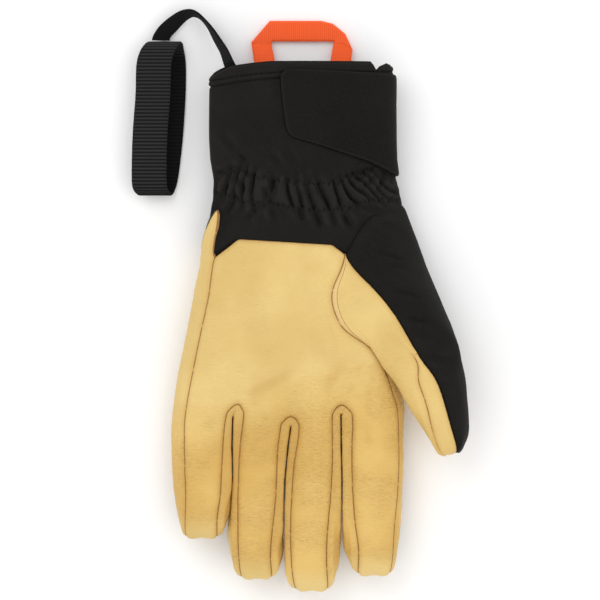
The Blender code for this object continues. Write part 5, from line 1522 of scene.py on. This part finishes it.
def ribbon_piece(name, node, edges, wall, grid, material, closed=False, rib_pitch=0, ribs=None):
    """A web with rounded edges through pairs of edge points, ribbed across its length."""
    spacing, across_steps = grid
    edges, runs, total = evened(edges, closed, spacing)
    count = len(edges)
    if closed and rib_pitch:
        rib_pitch = total / max(round(total / rib_pitch), 1)
    coords, along, across, face = [], [], [], []
    for number, (left, right) in enumerate(edges):
        after = edges[(number + 1) % count] if closed or number + 1 < count else edges[number]
        before = edges[number - 1] if closed or number else edges[number]
        way = (after[0] + after[1]) - (before[0] + before[1])
        normal = way.cross(right - left).normalized()
        width = (right - left).length
        rib = 0.0
        if rib_pitch:
            rib = BAND_RIB_DEPTH * (math.cos(2 * math.pi * runs[number] / rib_pitch) - 1) / 2
        for side in (0, 1):
            for step in range(across_steps + 1):
                share = step / across_steps if side == 0 else 1 - step / across_steps
                rim = min(share, 1 - share) * width
                half = wall / 2 * math.sqrt(1 - (1 - min(rim / (wall * RIBBON_ROUND), 1.0)) ** 2)
                half += rib * min(rim / RIB_EASE, 1.0)
                middle = left.lerp(right, share) - normal * wall / 2
                coords.append(middle + normal * (half if side == 0 else -half))
                along.append(ribs(coords[-1]) if ribs else runs[number])
                across.append(share * width)
                # Painted shade on the inner face of a closed band, lifting toward its top
                up_band = (coords[-1].y - BAND_PLACE[1] + BAND_LIGHT_START) / BAND_LIGHT_EASE
                inner_light = BAND_DIM + BAND_LIGHT * eased(up_band)
                face.append(inner_light if side and closed else 1.0)
    ring = 2 * (across_steps + 1)
    faces = []
    for number in range(count if closed else count - 1):
        near, far = number * ring, (number + 1) % count * ring
        for step in range(ring):
            after = (step + 1) % ring
            faces.append((near + step, far + step, far + after, near + after))
    if not closed:
        faces.append(tuple(range(ring)))
        faces.append(tuple(reversed(range((count - 1) * ring, count * ring))))
    seen_piece(name, node, coords, faces, material, {"along": along, "across": across, "face": face})


def loop_ribs(place):
    """Distance along the webbing: across the bar of the loop, and up the two legs under its folds."""
    x, y = PHOTO_MIDDLE + place[0] / PHOTO_STEP, PHOTO_MIDDLE - place[1] / PHOTO_STEP
    bar = y < 42 + max(0.35 * (x - 341), 0.0)
    return place[0] if bar else place[1] + LEG_RIB_SHIFT


def build_hang_loop(materials):
    mouth = WRIST_Y + CUFF_LENGTH
    edges = []
    for outer_x, outer_y, inner_x, inner_y in LOOP_PATH:
        pair = []
        for x_share, y_share in ((outer_x, outer_y), (inner_x, inner_y)):
            drop = eased((y_share - 0.05) / LOOP_LIFT_END)
            z = WEB_WALL + CLEAR + CLOTH_WALL * (1 - drop)
            x = CUFF_X + x_share * LOOP_WIDTH
            x += LOOP_STRETCH * min(max((x - LOOP_STRETCH_START) / LOOP_WIDTH, 0.0), 1.0)
            pair.append(Vector((x, mouth + y_share * LOOP_REACH + LOOP_RISE, z)))
        edges.append(pair)
    ribbon_piece("seen_hang_loop", "hang_loop", edges, WEB_WALL, LOOP_GRID, materials["orange"],
                 ribs=loop_ribs)


def build_strap(materials):
    path = smooth_rows(STRAP_PATH, False, STRAP_STEPS)
    points = [Vector((STRAP_START[0] - row[0] * STRAP_SPAN, STRAP_START[1] + row[1] * STRAP_RISE, 0))
              for row in path]
    edges = []
    turn_steps = STRAP_TURN / RIBBON_STEPS * STRAP_STEPS
    for number, (row, point) in enumerate(zip(path, points)):
        tilt = math.radians(row[2])
        way = points[min(number + 1, len(points) - 1)] - points[max(number - 1, 0)]
        side = Vector((-way.y, way.x, 0)).normalized()
        turned = eased((number + turn_steps - len(points) + 1) / turn_steps)
        side = side.lerp(Vector((1, 0, 0)), turned).normalized()
        half = (side * math.cos(tilt) + Vector((0, 0, -math.sin(tilt)))) * STRAP_WIDTH / 2
        in_cuff = 1 - eased((row[1] - 0.05) / 0.4)
        floor = sleeve_bottom(point.x - abs(half.x), point.y, -CLOTH_WALL) * in_cuff
        point.z = STRAP_WIDTH / 2 * math.sin(tilt) + STRAP_WALL + CLEAR + floor
        edges.append((point + half, point - half))
    ribbon_piece("seen_leash_strap", "leash_strap", edges, STRAP_WALL, STRAP_GRID, materials["strap"])


def build_band(materials):
    edges = []
    for along, height, across in smooth_rows(BAND_PATH, True, BAND_STEPS):
        middle = Vector((BAND_PLACE[0] + across * BAND_WIDTH, BAND_PLACE[1] - along * BAND_LENGTH,
                         CLEAR + height * BAND_HEIGHT))
        half = Vector((BAND_WIDTH / 2, 0, 0))
        edges.append((middle - half, middle + half))
    ribbon_piece("seen_wrist_band", "wrist_band", edges, BAND_WALL, BAND_GRID, materials["band"],
                 closed=True, rib_pitch=BAND_RIB_PITCH)


# Stage

def add_light(name, place, aim, size, energy):
    lamp = bpy.data.lights.new(name, "AREA")
    lamp.shape = "DISK"
    lamp.size = size
    lamp.energy = energy
    holder = bpy.data.objects.new(name, lamp)
    holder.location = place
    holder.rotation_euler = (Vector(aim) - Vector(place)).to_track_quat("-Z", "Y").to_euler()
    bpy.context.scene.collection.objects.link(holder)


def build_stage():
    scene = bpy.context.scene
    mesh = bpy.data.meshes.new("floor")
    corners = [(x * FLOOR_REACH, y * FLOOR_REACH, 0) for x, y in ((-1, -1), (1, -1), (1, 1), (-1, 1))]
    mesh.from_pydata(corners, [], [(0, 1, 2, 3)])
    shader = Shader("pale_floor", 0.9, 0.1)
    shader.colour(FLOOR_TONE)
    mesh.materials.append(shader.material)
    floor = bpy.data.objects.new("floor", mesh)
    floor.location.z = -FLOOR_DROP
    scene.collection.objects.link(floor)
    world = bpy.data.worlds.new("soft_white")
    world.use_nodes = True
    world.node_tree.nodes["Background"].inputs["Color"].default_value = (1, 1, 1, 1)
    world.node_tree.nodes["Background"].inputs["Strength"].default_value = WORLD_STRENGTH
    scene.world = world
    for name, place, aim, size, energy in LIGHTS:
        add_light(name, place, aim, size, energy)
    scene.view_settings.view_transform = "Standard"
    scene.view_settings.look = "None"
    lens = bpy.data.cameras.new("camera")
    lens.lens = CAMERA_LENS
    lens.sensor_width = SENSOR_WIDTH
    lens.clip_end = 20
    camera = bpy.data.objects.new("camera", lens)
    camera.location = (0, 0, CAMERA_RISE + FOCUS_HEIGHT)
    scene.collection.objects.link(camera)
    scene.camera = camera


def main():
    build_stage()
    materials = {
        "leather": leather_material("tan_leather"),
        "cloth": cloth_material("black_softshell", CLOTH_TONE, CLOTH_HIGHLIGHT_AND_THREAD),
        "tab": cloth_material("black_tab_face", TAB_TONE, CLOTH_HIGHLIGHT_AND_THREAD),
        "lining": cloth_material("black_lining", LINING_TONE, CLOTH_TONE),
    }
    for key, *looks in WEBBINGS:
        materials[key] = web_material(*looks)
    build_hand(materials)
    build_cuff(materials)
    build_tab(materials)
    build_hang_loop(materials)
    build_strap(materials)
    build_band(materials)


main()
